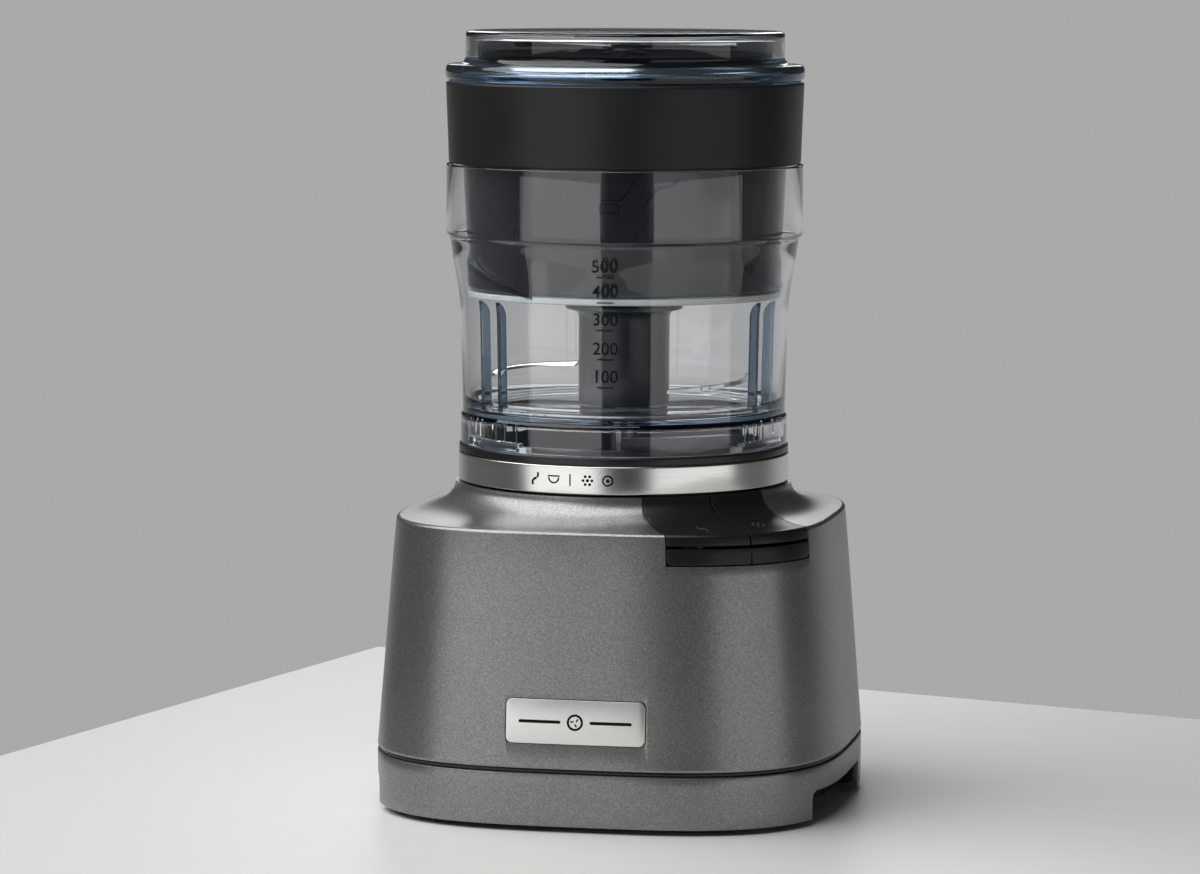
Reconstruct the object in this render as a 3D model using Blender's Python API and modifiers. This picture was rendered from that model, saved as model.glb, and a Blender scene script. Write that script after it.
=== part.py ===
"""Mini food processor: power base, clear chopper bowl, grinding head and lid.

Metres, +Z up.  The origin is the centre of the footprint, at floor level, and
the front of the machine faces -Y.  Dimensions below are millimetres and go
through mm() once.
"""
import bpy
import bmesh
import math
from mathutils import Vector, Matrix

for old in list(bpy.data.objects):
    bpy.data.objects.remove(old, do_unlink=True)

# ---------------------------------------------------------------- dimensions
# Base outline: a superellipse, |x|^n + |y|^n = half^n.
SQUARENESS = 3.15                  # the exponent n
SKIRT_HALF = 84.5                  # half width at the floor
SEAM_HALF = 84.7                   # at the seam between skirt and housing
SHELF_HALF = 78.3                  # at the shelf edge
WALL = 2.4                         # housing wall

Z_SKIRT = 2.0                      # bottom edge of the skirt
Z_SEAM = 20.8                      # top edge of the skirt
Z_HOUSING = 22.4                   # bottom edge of the housing
Z_SHELF = 105.2                    # shelf level
Z_DECK = 115.6                     # flat top of the housing
SWEEP_R = 61.0                     # where the concave sweep reaches the top
DECK_HOLE_R = 22.0                 # shaft opening in the housing top

ARCH_Y0, ARCH_Y1, ARCH_Z = -50.5, 19.0, 12.2   # cut-outs in both skirt sides

CONTROL_ANGLE = 41.5               # direction of the controls, from the front
CONTROL_OUT, CONTROL_IN = 28.5, 25.0   # half widths at 82 mm and at 58 mm out
CONTROL_GAP = 0.6                  # gap round the controls
PADDLE_Z0 = 101.3                  # lower edge of the two paddles
TRIM_Z0, TRIM_Z1 = 94.6, 100.1     # fixed trim under the paddles
PADDLE_TRAVEL = 1.0

COLLAR_R, COLLAR_Z0, COLLAR_Z1 = 60.0, 116.5, 126.4
SEAL_Z1 = 129.6
BOWL_SKIRT_Z0 = 129.9
BOWL_FLOOR_Z = 142.0
BOWL_RIM_Z = 230.5
BAND_Z0, BAND_Z1 = 230.9, 260.2
LID_FLANGE_Z1, LID_TOP_Z = 266.8, 278.4
HUB_R, HUB_Z0, HUB_Z1 = 16.5, 142.4, 180.2
SPINDLE_TOP = 173.8
MILL_Z = 272.0                     # plane of the grinding blade

ROUND = 32                         # segments of the large turned parts


def mm(v):
    return v * 0.001


# ---------------------------------------------------------------- scene set-up
parts = bpy.data.collections.new("food_processor")
bpy.context.scene.collection.children.link(parts)
cutters = bpy.data.collections.new("cutters")
bpy.context.scene.collection.children.link(cutters)


def finish(name, rgb, rough, metal=0.0, transmission=0.0, alpha=1.0):
    m = bpy.data.materials.new(name)
    m.use_nodes = True
    p = m.node_tree.nodes["Principled BSDF"]
    p.inputs["Base Color"].default_value = (*rgb, 1.0)
    p.inputs["Roughness"].default_value = rough
    p.inputs["Metallic"].default_value = metal
    p.inputs["Transmission Weight"].default_value = transmission
    p.inputs["Alpha"].default_value = alpha
    return m


HOUSING = finish("silver_grey_paint", (0.15, 0.145, 0.15), 0.38, 0.75)
STEEL = finish("brushed_steel", (0.62, 0.61, 0.60), 0.28, 1.0)
BLADE = finish("polished_steel", (0.70, 0.70, 0.70), 0.18, 1.0)
BLACK = finish("satin_black", (0.022, 0.022, 0.025), 0.42)
DARK = finish("dark_grey_plastic", (0.045, 0.045, 0.05), 0.35)
CLEAR = finish("clear_plastic", (0.86, 0.90, 0.93), 0.04, 0.0, 0.95, 0.35)
SMOKED = finish("smoked_plastic", (0.06, 0.065, 0.07), 0.08, 0.0, 0.6, 0.7)
RUBBER = finish("black_rubber", (0.015, 0.015, 0.015), 0.8)
SILICONE = finish("pale_silicone", (0.62, 0.62, 0.60), 0.45)
BADGE = finish("silver_badge", (0.74, 0.74, 0.72), 0.3, 0.9)
ZINC = finish("zinc_steel", (0.52, 0.52, 0.50), 0.42, 1.0)
COPPER = finish("copper", (0.62, 0.30, 0.16), 0.4, 1.0)
IRON = finish("laminated_iron", (0.16, 0.16, 0.17), 0.5, 0.9)
BRONZE = finish("sintered_bronze", (0.48, 0.33, 0.16), 0.5, 1.0)
BOARD = finish("circuit_board", (0.03, 0.16, 0.07), 0.5)
NYLON = finish("white_nylon", (0.62, 0.61, 0.57), 0.5)


def keep(obj, mat):
    """Put an object in the parts collection with its material."""
    for c in list(obj.users_collection):
        c.objects.unlink(obj)
    parts.objects.link(obj)
    obj.data.materials.clear()
    obj.data.materials.append(mat)
    return obj


def tool(obj):
    """Put an object among the cutters."""
    for c in list(obj.users_collection):
        c.objects.unlink(obj)
    cutters.objects.link(obj)
    obj.hide_render = True
    obj.display_type = 'WIRE'
    return obj


def smooth(obj, angle=32):
    obj.data.shade_smooth()
    obj.data.set_sharp_from_angle(angle=math.radians(angle))


def boolean(obj, cutter, operation='DIFFERENCE'):
    m = obj.modifiers.new(operation.lower() + "_" + cutter.name, 'BOOLEAN')
    m.operation = operation
    m.object = cutter
    m.solver = 'EXACT'
    return m


def turned(name, profile, steps=ROUND, closed=True, z=0.0):
    """Revolve a profile of (radius, height) about +Z.

    The profile runs down its outer side.  A closed profile is a ring, an open
    one starts and ends on the axis.  z is the height of the object's origin.
    """
    me = bpy.data.meshes.new(name)
    verts = [(mm(r), 0.0, mm(h - z)) for r, h in profile]
    n = len(verts)
    edges = [(i, i + 1) for i in range(n - 1)]
    if closed:
        edges.append((n - 1, 0))
    me.from_pydata(verts, edges, [])
    ob = bpy.data.objects.new(name, me)
    ob.location.z = mm(z)
    parts.objects.link(ob)
    s = ob.modifiers.new("turn", 'SCREW')
    s.axis = 'Z'
    s.angle = math.tau
    s.steps = steps
    s.render_steps = steps
    s.use_merge_vertices = True
    s.merge_threshold = 0.00001
    s.use_smooth_shade = True
    return ob


def prism(name, outline, z0, z1, holes=()):
    """A flat outline given in millimetres, with its thickness from z0 to z1."""
    cu = bpy.data.curves.new(name, 'CURVE')
    cu.dimensions = '2D'
    cu.fill_mode = 'BOTH'
    cu.extrude = mm((z1 - z0) / 2)
    for loop in (outline, *holes):
        sp = cu.splines.new('POLY')
        sp.points.add(len(loop) - 1)
        for p, (x, y) in zip(sp.points, loop):
            p.co = (mm(x), mm(y), 0.0, 1.0)
        sp.use_cyclic_u = True
    flat = bpy.data.objects.new(name + "_outline", cu)
    flat.location.z = mm((z0 + z1) / 2)
    parts.objects.link(flat)
    bpy.context.view_layer.update()
    deps = bpy.context.evaluated_depsgraph_get()
    me = bpy.data.meshes.new_from_object(flat.evaluated_get(deps))
    ob = bpy.data.objects.new(name, me)
    ob.matrix_world = flat.matrix_world
    bpy.data.objects.remove(flat, do_unlink=True)
    bm = bmesh.new()
    bm.from_mesh(me)
    bmesh.ops.remove_doubles(bm, verts=bm.verts, dist=1e-6)
    bm.to_mesh(me)
    bm.free()
    parts.objects.link(ob)
    return ob


def block(name, size, centre, turn=0.0, bevel=0.0):
    """A box of the given size, turned about +Z."""
    me = bpy.data.meshes.new(name)
    bm = bmesh.new()
    bmesh.ops.create_cube(bm, size=1.0)
    bmesh.ops.scale(bm, vec=Vector([mm(s) for s in size]), verts=bm.verts)
    bm.to_mesh(me)
    bm.free()
    ob = bpy.data.objects.new(name, me)
    ob.location = [mm(c) for c in centre]
    ob.rotation_euler.z = math.radians(turn)
    parts.objects.link(ob)
    if bevel:
        b = ob.modifiers.new("edges", 'BEVEL')
        b.width = mm(bevel)
        b.segments = 1
    return ob


def rod(name, radius, z0, z1, x=0.0, y=0.0, steps=16):
    """A plain upright cylinder."""
    me = bpy.data.meshes.new(name)
    bm = bmesh.new()
    bmesh.ops.create_cone(bm, cap_ends=True, segments=steps, radius1=mm(radius),
                          radius2=mm(radius), depth=mm(z1 - z0))
    bm.to_mesh(me)
    bm.free()
    ob = bpy.data.objects.new(name, me)
    ob.location = (mm(x), mm(y), mm((z0 + z1) / 2))
    parts.objects.link(ob)
    return ob


def coil(name, radius, wire, z0, z1, turns, x, y):
    """A compression spring standing on z0, closed by its wire radius."""
    cu = bpy.data.curves.new(name, 'CURVE')
    cu.dimensions = '3D'
    cu.fill_mode = 'FULL'
    cu.bevel_depth = mm(wire)
    cu.bevel_resolution = 1
    cu.use_fill_caps = True
    n = int(turns * 7) + 1
    sp = cu.splines.new('POLY')
    sp.points.add(n - 1)
    for i, p in enumerate(sp.points):
        t = i / (n - 1)
        a = turns * math.tau * t
        h = z0 + wire * 1.15 + (z1 - z0 - 2.3 * wire) * t
        p.co = (mm(radius * math.cos(a)), mm(radius * math.sin(a)), mm(h - z0), 1.0)
    raw = bpy.data.objects.new(name + "_wire", cu)
    raw.location = (mm(x), mm(y), mm(z0))
    parts.objects.link(raw)
    bpy.context.view_layer.update()
    deps = bpy.context.evaluated_depsgraph_get()
    me = bpy.data.meshes.new_from_object(raw.evaluated_get(deps))
    ob = bpy.data.objects.new(name, me)
    ob.matrix_world = raw.matrix_world
    bpy.data.objects.remove(raw, do_unlink=True)
    bm = bmesh.new()
    bm.from_mesh(me)
    bmesh.ops.remove_doubles(bm, verts=bm.verts, dist=1e-6)
    bm.to_mesh(me)
    bm.free()
    parts.objects.link(ob)
    return ob


# ---------------------------------------------------------------- outlines
def squircle(half, count=40):
    """Points of the base outline, counter-clockwise from +X, close at corners."""
    pts = []
    for i in range(count):
        a = math.tau * i / count
        c, s = math.cos(a), math.sin(a)
        pts.append((math.copysign(half * abs(c) ** (2 / SQUARENESS), c),
                    math.copysign(half * abs(s) ** (2 / SQUARENESS), s)))
    return pts


def squircle_x(half, y):
    """Half width of the outline at a distance y from its middle."""
    return half * (1 - (abs(y) / half) ** SQUARENESS) ** (1 / SQUARENESS)


def circle_like(outline, radius):
    """The same number of points on a circle, in the outline's directions."""
    return [(radius * x / math.hypot(x, y), radius * y / math.hypot(x, y)) for x, y in outline]


def mix(a, b, t):
    return [((1 - t) * p[0] + t * q[0], (1 - t) * p[1] + t * q[1]) for p, q in zip(a, b)]


def half_at(z):
    """Half width of the housing at a height."""
    return SEAM_HALF + (SHELF_HALF - SEAM_HALF) * (z - Z_HOUSING) / (Z_SHELF - Z_HOUSING)


def housing_ring(z, inset=0.0, count=40):
    return squircle(half_at(z) - inset, count)


def sweep_rings(inset, edge, count, z_drop=0.0):
    """Rings of the concave sweep from the shelf edge up to the deck circle.

    inset pulls the surface inwards and down, edge is the distance of the
    first ring from the side wall.
    """
    outer = housing_ring(Z_SHELF, inset + edge)
    inner = circle_like(outer, SWEEP_R - inset)
    rings = []
    for i in range(count + 1):
        a = math.pi / 2 * i / count
        z = Z_SHELF - z_drop + (Z_DECK - Z_SHELF) * (1 - math.cos(a))
        rings.append((mix(outer, inner, math.sin(a)), z))
    return rings


def loft(name, rings, wrap=False, cap=False):
    """Join rings of equal point count by quads.

    The rings run up the outside.  wrap joins the last ring to the first, cap
    closes both ends.
    """
    me = bpy.data.meshes.new(name)
    bm = bmesh.new()
    loops = [[bm.verts.new((mm(x), mm(y), mm(z))) for x, y in pts] for pts, z in rings]
    n = len(loops[0])
    pairs = list(zip(loops, loops[1:]))
    if wrap:
        pairs.append((loops[-1], loops[0]))
    for a, b in pairs:
        for i in range(n):
            j = (i + 1) % n
            bm.faces.new((a[i], a[j], b[j], b[i]))
    if cap:
        bm.faces.new(list(reversed(loops[0])))
        bm.faces.new(loops[-1])
    bm.normal_update()
    bm.to_mesh(me)
    bm.free()
    ob = bpy.data.objects.new(name, me)
    parts.objects.link(ob)
    return ob


def sector(r0, r1, a0, a1, n=6):
    """Outline of a piece of a ring between two angles, in degrees."""
    pts = []
    for i in range(n + 1):
        a = math.radians(a0 + (a1 - a0) * i / n)
        pts.append((r1 * math.cos(a), r1 * math.sin(a)))
    for i in range(n + 1):
        a = math.radians(a1 + (a0 - a1) * i / n)
        pts.append((r0 * math.cos(a), r0 * math.sin(a)))
    return pts


def stadium(x0, y0, x1, y1, r, n=5):
    """Outline of a pad with round ends between two points."""
    d = math.atan2(y1 - y0, x1 - x0)
    pts = []
    for i in range(n + 1):
        a = d - math.pi / 2 + math.pi * i / n
        pts.append((x1 + r * math.cos(a), y1 + r * math.sin(a)))
    for i in range(n + 1):
        a = d + math.pi / 2 + math.pi * i / n
        pts.append((x0 + r * math.cos(a), y0 + r * math.sin(a)))
    return pts


# Control frame: u runs outwards through the controls, v runs to their right.
CU = (math.sin(math.radians(CONTROL_ANGLE)), -math.cos(math.radians(CONTROL_ANGLE)))
CV = (math.cos(math.radians(CONTROL_ANGLE)), math.sin(math.radians(CONTROL_ANGLE)))


def control_point(u, v):
    return (u * CU[0] + v * CV[0], u * CU[1] + v * CV[1])


def control_half(u):
    return CONTROL_IN + (CONTROL_OUT - CONTROL_IN) * (u - 58.0) / 24.0


def control_region(side0, side1, u0, u1, grow=0.0, arc=None):
    """Outline between two fractions of the control width, -1 left to +1 right."""
    def edge(s, u):
        if abs(s) == 1:
            return s * (control_half(u) + grow)
        return s
    pts = [control_point(u1, edge(side0, u1)), control_point(u1, edge(side1, u1))]
    if arc is None:
        pts += [control_point(u0, edge(side1, u0)), control_point(u0, edge(side0, u0))]
        return pts
    # The inner side follows the deck circle.
    for i in range(7):
        t = i / 6
        v = edge(side1, u0) * (1 - t) + edge(side0, u0) * t
        pts.append(control_point(math.sqrt(arc * arc - v * v), v))
    return pts


# ================================================================ power base
# ---- main housing: tapered walls, crisp shelf edge, concave sweep, flat deck
outer = [(housing_ring(Z_HOUSING), Z_HOUSING), (housing_ring(Z_SHELF - 1.2), Z_SHELF - 1.2),
         (housing_ring(Z_SHELF, 0.35), Z_SHELF - 0.35)]
outer += sweep_rings(0.0, 1.4, 5)
outer.append((circle_like(outer[0][0], DECK_HOLE_R), Z_DECK))
inner = [(circle_like(outer[0][0], DECK_HOLE_R), Z_DECK - WALL)]
inner += list(reversed(sweep_rings(WALL, 1.2, 3, z_drop=WALL)))
inner.append((housing_ring(Z_HOUSING, WALL), Z_HOUSING))
main_housing = keep(loft("main_housing", outer + inner, wrap=True), HOUSING)

# screw columns run up the four corners and grow into the walls
COLUMN = 60.8
for i, (sx, sy) in enumerate(((1, 1), (-1, 1), (-1, -1), (1, -1))):
    col = tool(rod("column_%d" % (i + 1), 4.2, 6.1, 86.0, sx * COLUMN, sy * COLUMN, 12))
    boolean(main_housing, col, 'UNION')
    hole = tool(rod("column_hole_%d" % (i + 1), 1.9, 5.0, 24.0, sx * COLUMN, sy * COLUMN, 10))
    boolean(main_housing, hole)

control_cut = tool(prism("control_cut", control_region(-1, 1, 50.0, 112.0, CONTROL_GAP, arc=58.3),
                         TRIM_Z0 - 0.5, 122.0))
boolean(main_housing, control_cut)

# badge recess in the front face
BADGE_X, BADGE_Z0, BADGE_Z1 = 24.8, 31.4, 46.8


def front_patch(name, half, z0, z1, d0, d1, corner=2.0, n=10):
    """A patch that follows the front face from depth d0 to d1 outside it."""
    me = bpy.data.meshes.new(name)
    bm = bmesh.new()

    def at(x, z, d):
        return bm.verts.new((mm(x), mm(-squircle_x(half_at(z) + d, x)), mm(z)))
    xs = [-half, -half + corner] + [(-1 + 2 * i / n) * (half - corner) for i in range(1, n)] \
        + [half - corner, half]
    cols = []
    for k, x in enumerate(xs):
        end = k in (0, len(xs) - 1)
        lo, hi = (z0 + corner, z1 - corner) if end else (z0, z1)
        cols.append([at(x, lo, d0), at(x, hi, d0), at(x, hi, d1), at(x, lo, d1)])
    for a, b in zip(cols, cols[1:]):
        for i in range(4):
            j = (i + 1) % 4
            bm.faces.new((a[i], a[j], b[j], b[i]))
    bm.faces.new(list(reversed(cols[0])))
    bm.faces.new(cols[-1])
    bmesh.ops.recalc_face_normals(bm, faces=bm.faces)
    bm.to_mesh(me)
    bm.free()
    ob = bpy.data.objects.new(name, me)
    parts.objects.link(ob)
    return ob


badge_recess = tool(front_patch("badge_recess", BADGE_X + 0.3, BADGE_Z0 - 0.3, BADGE_Z1 + 0.3, -0.9, 4.0))
boolean(main_housing, badge_recess)
keep(front_patch("badge_plate", BADGE_X, BADGE_Z0, BADGE_Z1, -0.6, 0.35), BADGE)

# interlock pin passes the deck at this place
PIN_R, PIN_ANGLE = 54.3, 135.0
PIN_X = PIN_R * math.cos(math.radians(PIN_ANGLE))
PIN_Y = PIN_R * math.sin(math.radians(PIN_ANGLE))
pin_hole = tool(rod("pin_hole", 3.0, 100.0, 130.0, PIN_X, PIN_Y, 14))
boolean(main_housing, pin_hole)
smooth(main_housing)

# ---- skirt under the seam, with a finger cut-out in each side
rings = [(squircle(SKIRT_HALF), Z_SKIRT), (squircle(SEAM_HALF), Z_SEAM),
         (squircle(SEAM_HALF - WALL), Z_SEAM), (squircle(SKIRT_HALF - WALL), Z_SKIRT)]
base_skirt = keep(loft("base_skirt", rings, wrap=True), HOUSING)
ARCH_MID, ARCH_LEN = (ARCH_Y0 + ARCH_Y1) / 2, ARCH_Y1 - ARCH_Y0
for side, sx in (("right", 1), ("left", -1)):
    arch = tool(block("arch_" + side, (40.0, ARCH_LEN, 2 * ARCH_Z), (sx * 84.0, ARCH_MID, 0.0)))
    boolean(base_skirt, arch)
GLAND_Z = 12.0
inlet = tool(rod("cable_inlet", 5.3, -12.0, 12.0, steps=16))
inlet.rotation_euler.x = math.pi / 2
inlet.location = (0.0, mm(84.0), mm(GLAND_Z))
boolean(base_skirt, inlet)
smooth(base_skirt)

# ---- dark joint strip between skirt and housing
strip = [(squircle(SEAM_HALF - 0.9, 32), Z_SEAM + 0.3), (squircle(SEAM_HALF - 0.9, 32), Z_HOUSING - 0.3),
         (squircle(SEAM_HALF - 2.6, 32), Z_HOUSING - 0.3), (squircle(SEAM_HALF - 2.6, 32), Z_SEAM + 0.3)]
smooth(keep(loft("seam_gasket", strip, wrap=True), RUBBER))


# ---- bottom tray, notched behind the finger cut-outs
def notched(half, xn, y0, y1):
    """The base outline, with left and right sides stepped in to xn from y0 to y1."""
    pts = squircle(half, 32)

    def turn(p):
        return math.atan2(p[1], p[0])
    lower = sorted([p for p in pts if p[1] <= y0 - 1.0], key=turn)
    upper = sorted([p for p in pts if p[1] >= y1 + 1.0], key=turn)
    # The notch ends have a little draft.
    out = lower + [(squircle_x(half, y0), y0 - 0.3), (xn, y0), (xn, y1), (squircle_x(half, y1), y1 + 0.3)]
    out += upper + [(-squircle_x(half, y1), y1 + 0.3), (-xn, y1 + 0.05), (-xn, y0 - 0.05),
                    (-squircle_x(half, y0), y0 - 0.3)]
    return out


TRAY_Z0, TRAY_FLOOR, TRAY_Z1 = 3.4, 5.8, 13.0
TRAY_HALF = SKIRT_HALF - WALL - 0.4
base_plate = keep(prism("base_plate", notched(TRAY_HALF, 72.0, ARCH_Y0 - 1.0, ARCH_Y1), TRAY_Z0, TRAY_Z1), BLACK)
tray_inside = tool(prism("tray_inside", notched(TRAY_HALF - 2.2, 69.8, ARCH_Y0 - 3.2, ARCH_Y1 + 2.2),
                         TRAY_FLOOR, 20.0))
boolean(base_plate, tray_inside)
for i, (sx, sy) in enumerate(((1, 1), (-1, 1), (-1, -1), (1, -1))):
    hole = tool(rod("plate_hole_%d" % (i + 1), 1.9, 0.0, 8.0, sx * COLUMN, sy * COLUMN, 10))
    boolean(base_plate, hole)
inlet2 = tool(block("cable_notch", (13.6, 12.0, 14.0), (0.0, 80.0, GLAND_Z + 0.2)))
boolean(base_plate, inlet2)

# ---- four screws through the tray into the columns
for i, (sx, sy) in enumerate(((1, 1), (-1, 1), (-1, -1), (1, -1))):
    s = turned("base_screw_%d" % (i + 1), [(0.0, 20.0), (1.2, 20.0), (1.6, 18.6), (1.6, 3.1),
                                          (3.3, 3.1), (3.3, 2.1), (2.4, 1.4), (0.0, 1.4)], 10, closed=False)
    s.location = (mm(sx * COLUMN), mm(sy * COLUMN), 0.0)
    keep(s, ZINC)

# ---- rubber feet
feet = {"foot_front_right": (22.0, -68.0, 48.0, -68.0, 6.0), "foot_front_left": (-48.0, -68.0, -22.0, -68.0, 6.0),
        "foot_rear_right": (66.0, 12.0, 66.0, 44.0, 7.0), "foot_rear_left": (-66.0, 12.0, -66.0, 44.0, 7.0)}
for name, (x0, y0, x1, y1, r) in feet.items():
    keep(prism(name, stadium(x0, y0, x1, y1, r), 0.0, TRAY_Z0 - 0.3), RUBBER)

# ---- cable inlet bush at the rear
gland = turned("cable_gland", [(5.0, 5.0), (5.0, 1.2), (6.4, 1.2), (6.4, 0.0), (3.4, 0.0), (3.4, 5.0)], 16)
gland.rotation_euler.x = -math.pi / 2
gland.location = (0.0, mm(79.4), mm(GLAND_Z))
keep(gland, RUBBER)


# ---- paddles and trim share the surface of the housing
def control_shell(name, z0, thickness, regions):
    """Band of the housing surface from z0 up to the deck."""
    out = [(housing_ring(z0), z0), (housing_ring(Z_SHELF - 1.2), Z_SHELF - 1.2),
           (housing_ring(Z_SHELF, 0.35), Z_SHELF - 0.35)] + sweep_rings(0.0, 1.4, 5)
    top = out[-1]
    out[-1] = (top[0], Z_DECK + 0.3)
    ins = [(circle_like(out[0][0], SWEEP_R - 2.0), Z_DECK + 0.3)]
    ins += list(reversed(sweep_rings(thickness, 1.2, 3, z_drop=thickness)))[1:]
    ins.append((housing_ring(z0, thickness), z0))
    return keep(loft(name, out + ins, wrap=True), BLACK)


for side, a, b in (("left", -1, -0.35), ("right", 0.35, 1)):
    pad = control_shell("paddle_" + side, PADDLE_Z0, 2.0, None)
    zone = tool(prism("zone_" + side, control_region(a, b, 40.0, 112.0), PADDLE_Z0 - 4, 125.0))
    boolean(pad, zone, 'INTERSECT')
    smooth(pad)

trim_rings = [(housing_ring(TRIM_Z0), TRIM_Z0), (housing_ring(TRIM_Z1), TRIM_Z1),
              (housing_ring(TRIM_Z1, 2.0), TRIM_Z1), (housing_ring(TRIM_Z0, 2.0), TRIM_Z0)]
control_trim = keep(loft("control_trim", trim_rings, wrap=True), BLACK)
trim_zone = tool(prism("trim_zone", control_region(-1, 1, 40.0, 112.0), TRIM_Z0 - 3, TRIM_Z1 + 3))
boolean(control_trim, trim_zone, 'INTERSECT')
gx, gy = control_point(91.9, 0.0)
groove = tool(block("trim_groove", (6.0, 0.7, 20.0), (gx, gy, 97.0), CONTROL_ANGLE - 90.0))
boolean(control_trim, groove)
smooth(control_trim)

# switch bracket under the paddles, with a return spring and a switch for each
BRACKET_U0, BRACKET_U1, BRACKET_Z = 56.0, 76.0, 90.0
bx, by = control_point((BRACKET_U0 + BRACKET_U1) / 2, 0.0)
keep(block("switch_bracket", (BRACKET_U1 - BRACKET_U0, 43.0, 2.0), (bx, by, BRACKET_Z - 1.0),
           CONTROL_ANGLE - 90.0), ZINC)


def sweep_height(u):
    """Height of the paddle's underside at a distance u along the controls."""
    edge = 85.0
    s = min(max((edge - u) / (edge - (SWEEP_R - 2.0)), 0.0), 1.0)
    return Z_SHELF - 2.0 + (Z_DECK - Z_SHELF) * (1 - math.sqrt(1 - s * s))


SPRING_U = 71.0
SPRING_TOP = sweep_height(SPRING_U) - 0.4
for side, s in (("left", -1), ("right", 1)):
    x, y = control_point(SPRING_U, s * 9.0)
    keep(coil("paddle_spring_" + side, 2.6, 0.4, BRACKET_Z + 0.3, SPRING_TOP, 4, x, y), STEEL)
    x, y = control_point(SPRING_U, s * 17.2)
    keep(block("micro_switch_" + side, (12.0, 6.4, 10.4), (x, y, BRACKET_Z + 5.5),
               CONTROL_ANGLE - 90.0, bevel=0.5), DARK)

# ---- steel collar and the deck inside it
keep(turned("steel_collar", [(COLLAR_R - 0.5, COLLAR_Z1), (COLLAR_R, COLLAR_Z1 - 0.6), (COLLAR_R, COLLAR_Z0 + 0.4),
                             (COLLAR_R - 0.4, COLLAR_Z0), (57.2, COLLAR_Z0), (57.2, COLLAR_Z1)], ROUND), STEEL)
bowl_seat = keep(turned("bowl_seat", [
    (52.0, 131.8), (52.0, 120.0), (56.8, 120.0), (56.8, Z_DECK + 0.3), (10.5, Z_DECK + 0.3),
    (10.5, 122.0), (14.0, 122.0), (14.0, 119.4), (49.6, 119.4), (49.6, 131.8)], ROUND), DARK)
HOOKS = (63.5, 183.5, 303.5)           # middle of the three bayonet hooks
for i, a in enumerate(HOOKS):
    hook = tool(prism("hook_%d" % (i + 1), sector(49.9, 55.4, a - 22.5, a + 22.5), 133.4, 136.2))
    stem = tool(prism("stem_%d" % (i + 1), sector(50.1, 51.5, a - 21.5, a + 21.5), 130.4, 135.4))
    boolean(bowl_seat, stem, 'UNION')
    boolean(bowl_seat, hook, 'UNION')
boolean(bowl_seat, pin_hole)
smooth(bowl_seat)
keep(turned("collar_seal", [(59.8, SEAL_Z1 - 0.6), (59.8, COLLAR_Z1 + 0.3), (56.9, COLLAR_Z1 + 0.3),
                            (56.9, SEAL_Z1), (59.2, SEAL_Z1)], ROUND), RUBBER)
keep(turned("shaft_seal", [(10.2, 120.6), (10.2, 116.4), (5.9, 116.4), (5.9, 118.0), (7.4, 120.6)], 20), RUBBER)

# ---- interlock: ring turned by the bowl, sprung pin and its switch
ring = keep(turned("interlock_ring", [(56.5, 129.4), (56.5, 123.2), (52.5, 123.2), (52.5, 129.4)], ROUND), NYLON)
LUG_HALF = 15.0
LUGS = [h + 22.5 + 4.0 + LUG_HALF for h in HOOKS]
for i, a in enumerate(LUGS):
    for j, s in enumerate((-1, 1)):
        mid = a + s * (LUG_HALF + 2.6)
        tooth = tool(prism("tooth_%d_%d" % (i + 1, j + 1), sector(53.2, 56.1, mid - 1.6, mid + 1.6, 2), 128.0, 131.6))
        boolean(ring, tooth, 'UNION')
smooth(ring)
pin = turned("interlock_pin", [(0.0, 122.6), (1.9, 122.6), (2.4, 122.0), (2.4, 112.6), (4.2, 112.6),
                               (4.2, 111.0), (1.7, 111.0), (1.7, 105.0), (0.0, 105.0)], 12, closed=False, z=105.0)
pin.location = (mm(PIN_X), mm(PIN_Y), mm(105.0))
keep(pin, NYLON)
keep(coil("interlock_spring", 2.7, 0.4, 103.5, 110.7, 3, PIN_X, PIN_Y), STEEL)
sx, sy = PIN_X * 1.0, PIN_Y * 1.0
keep(block("interlock_switch", (13.0, 8.0, 7.6), (sx, sy, 99.4), PIN_ANGLE, bevel=0.5), DARK)

# ---- motor
keep(turned("motor_can", [(36.0, 92.0), (36.0, 24.0), (7.6, 24.0), (7.6, 26.0), (33.8, 26.0), (33.8, 92.0)], 28), ZINC)
bracket = keep(turned("motor_bracket", [(45.0, 95.3), (45.0, 92.3), (7.6, 92.3), (7.6, 95.3)], 28), ZINC)
ear = tool(block("bracket_ear", (22.0, 14.0, 3.0), (51.0 * math.cos(math.radians(PIN_ANGLE)),
                                                  51.0 * math.sin(math.radians(PIN_ANGLE)), 93.8), PIN_ANGLE))
boolean(bracket, ear, 'UNION')
keep(turned("upper_bearing", [(7.3, 97.4), (7.3, 90.4), (3.3, 90.4), (3.3, 97.4)], 16), BRONZE)
keep(turned("lower_bearing", [(7.3, 27.6), (7.3, 22.4), (3.3, 22.4), (3.3, 27.6)], 16), BRONZE)
for i, a in enumerate((30.0, 200.0, 270.0)):
    x, y = 39.5 * math.cos(math.radians(a)), 39.5 * math.sin(math.radians(a))
    keep(rod("rubber_mount_%d" % (i + 1), 5.0, 95.6, Z_DECK - WALL - 0.3, x, y, 12), RUBBER)
keep(turned("stator", [(33.5, 76.0), (33.5, 36.0), (24.6, 36.0), (24.6, 76.0)], 28), IRON)
for side, s in (("left", -1), ("right", 1)):
    keep(block("brush_" + side, (23.6, 7.0, 5.6), (s * 21.6, 0.0, 82.6), 0.0), BRONZE)

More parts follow.
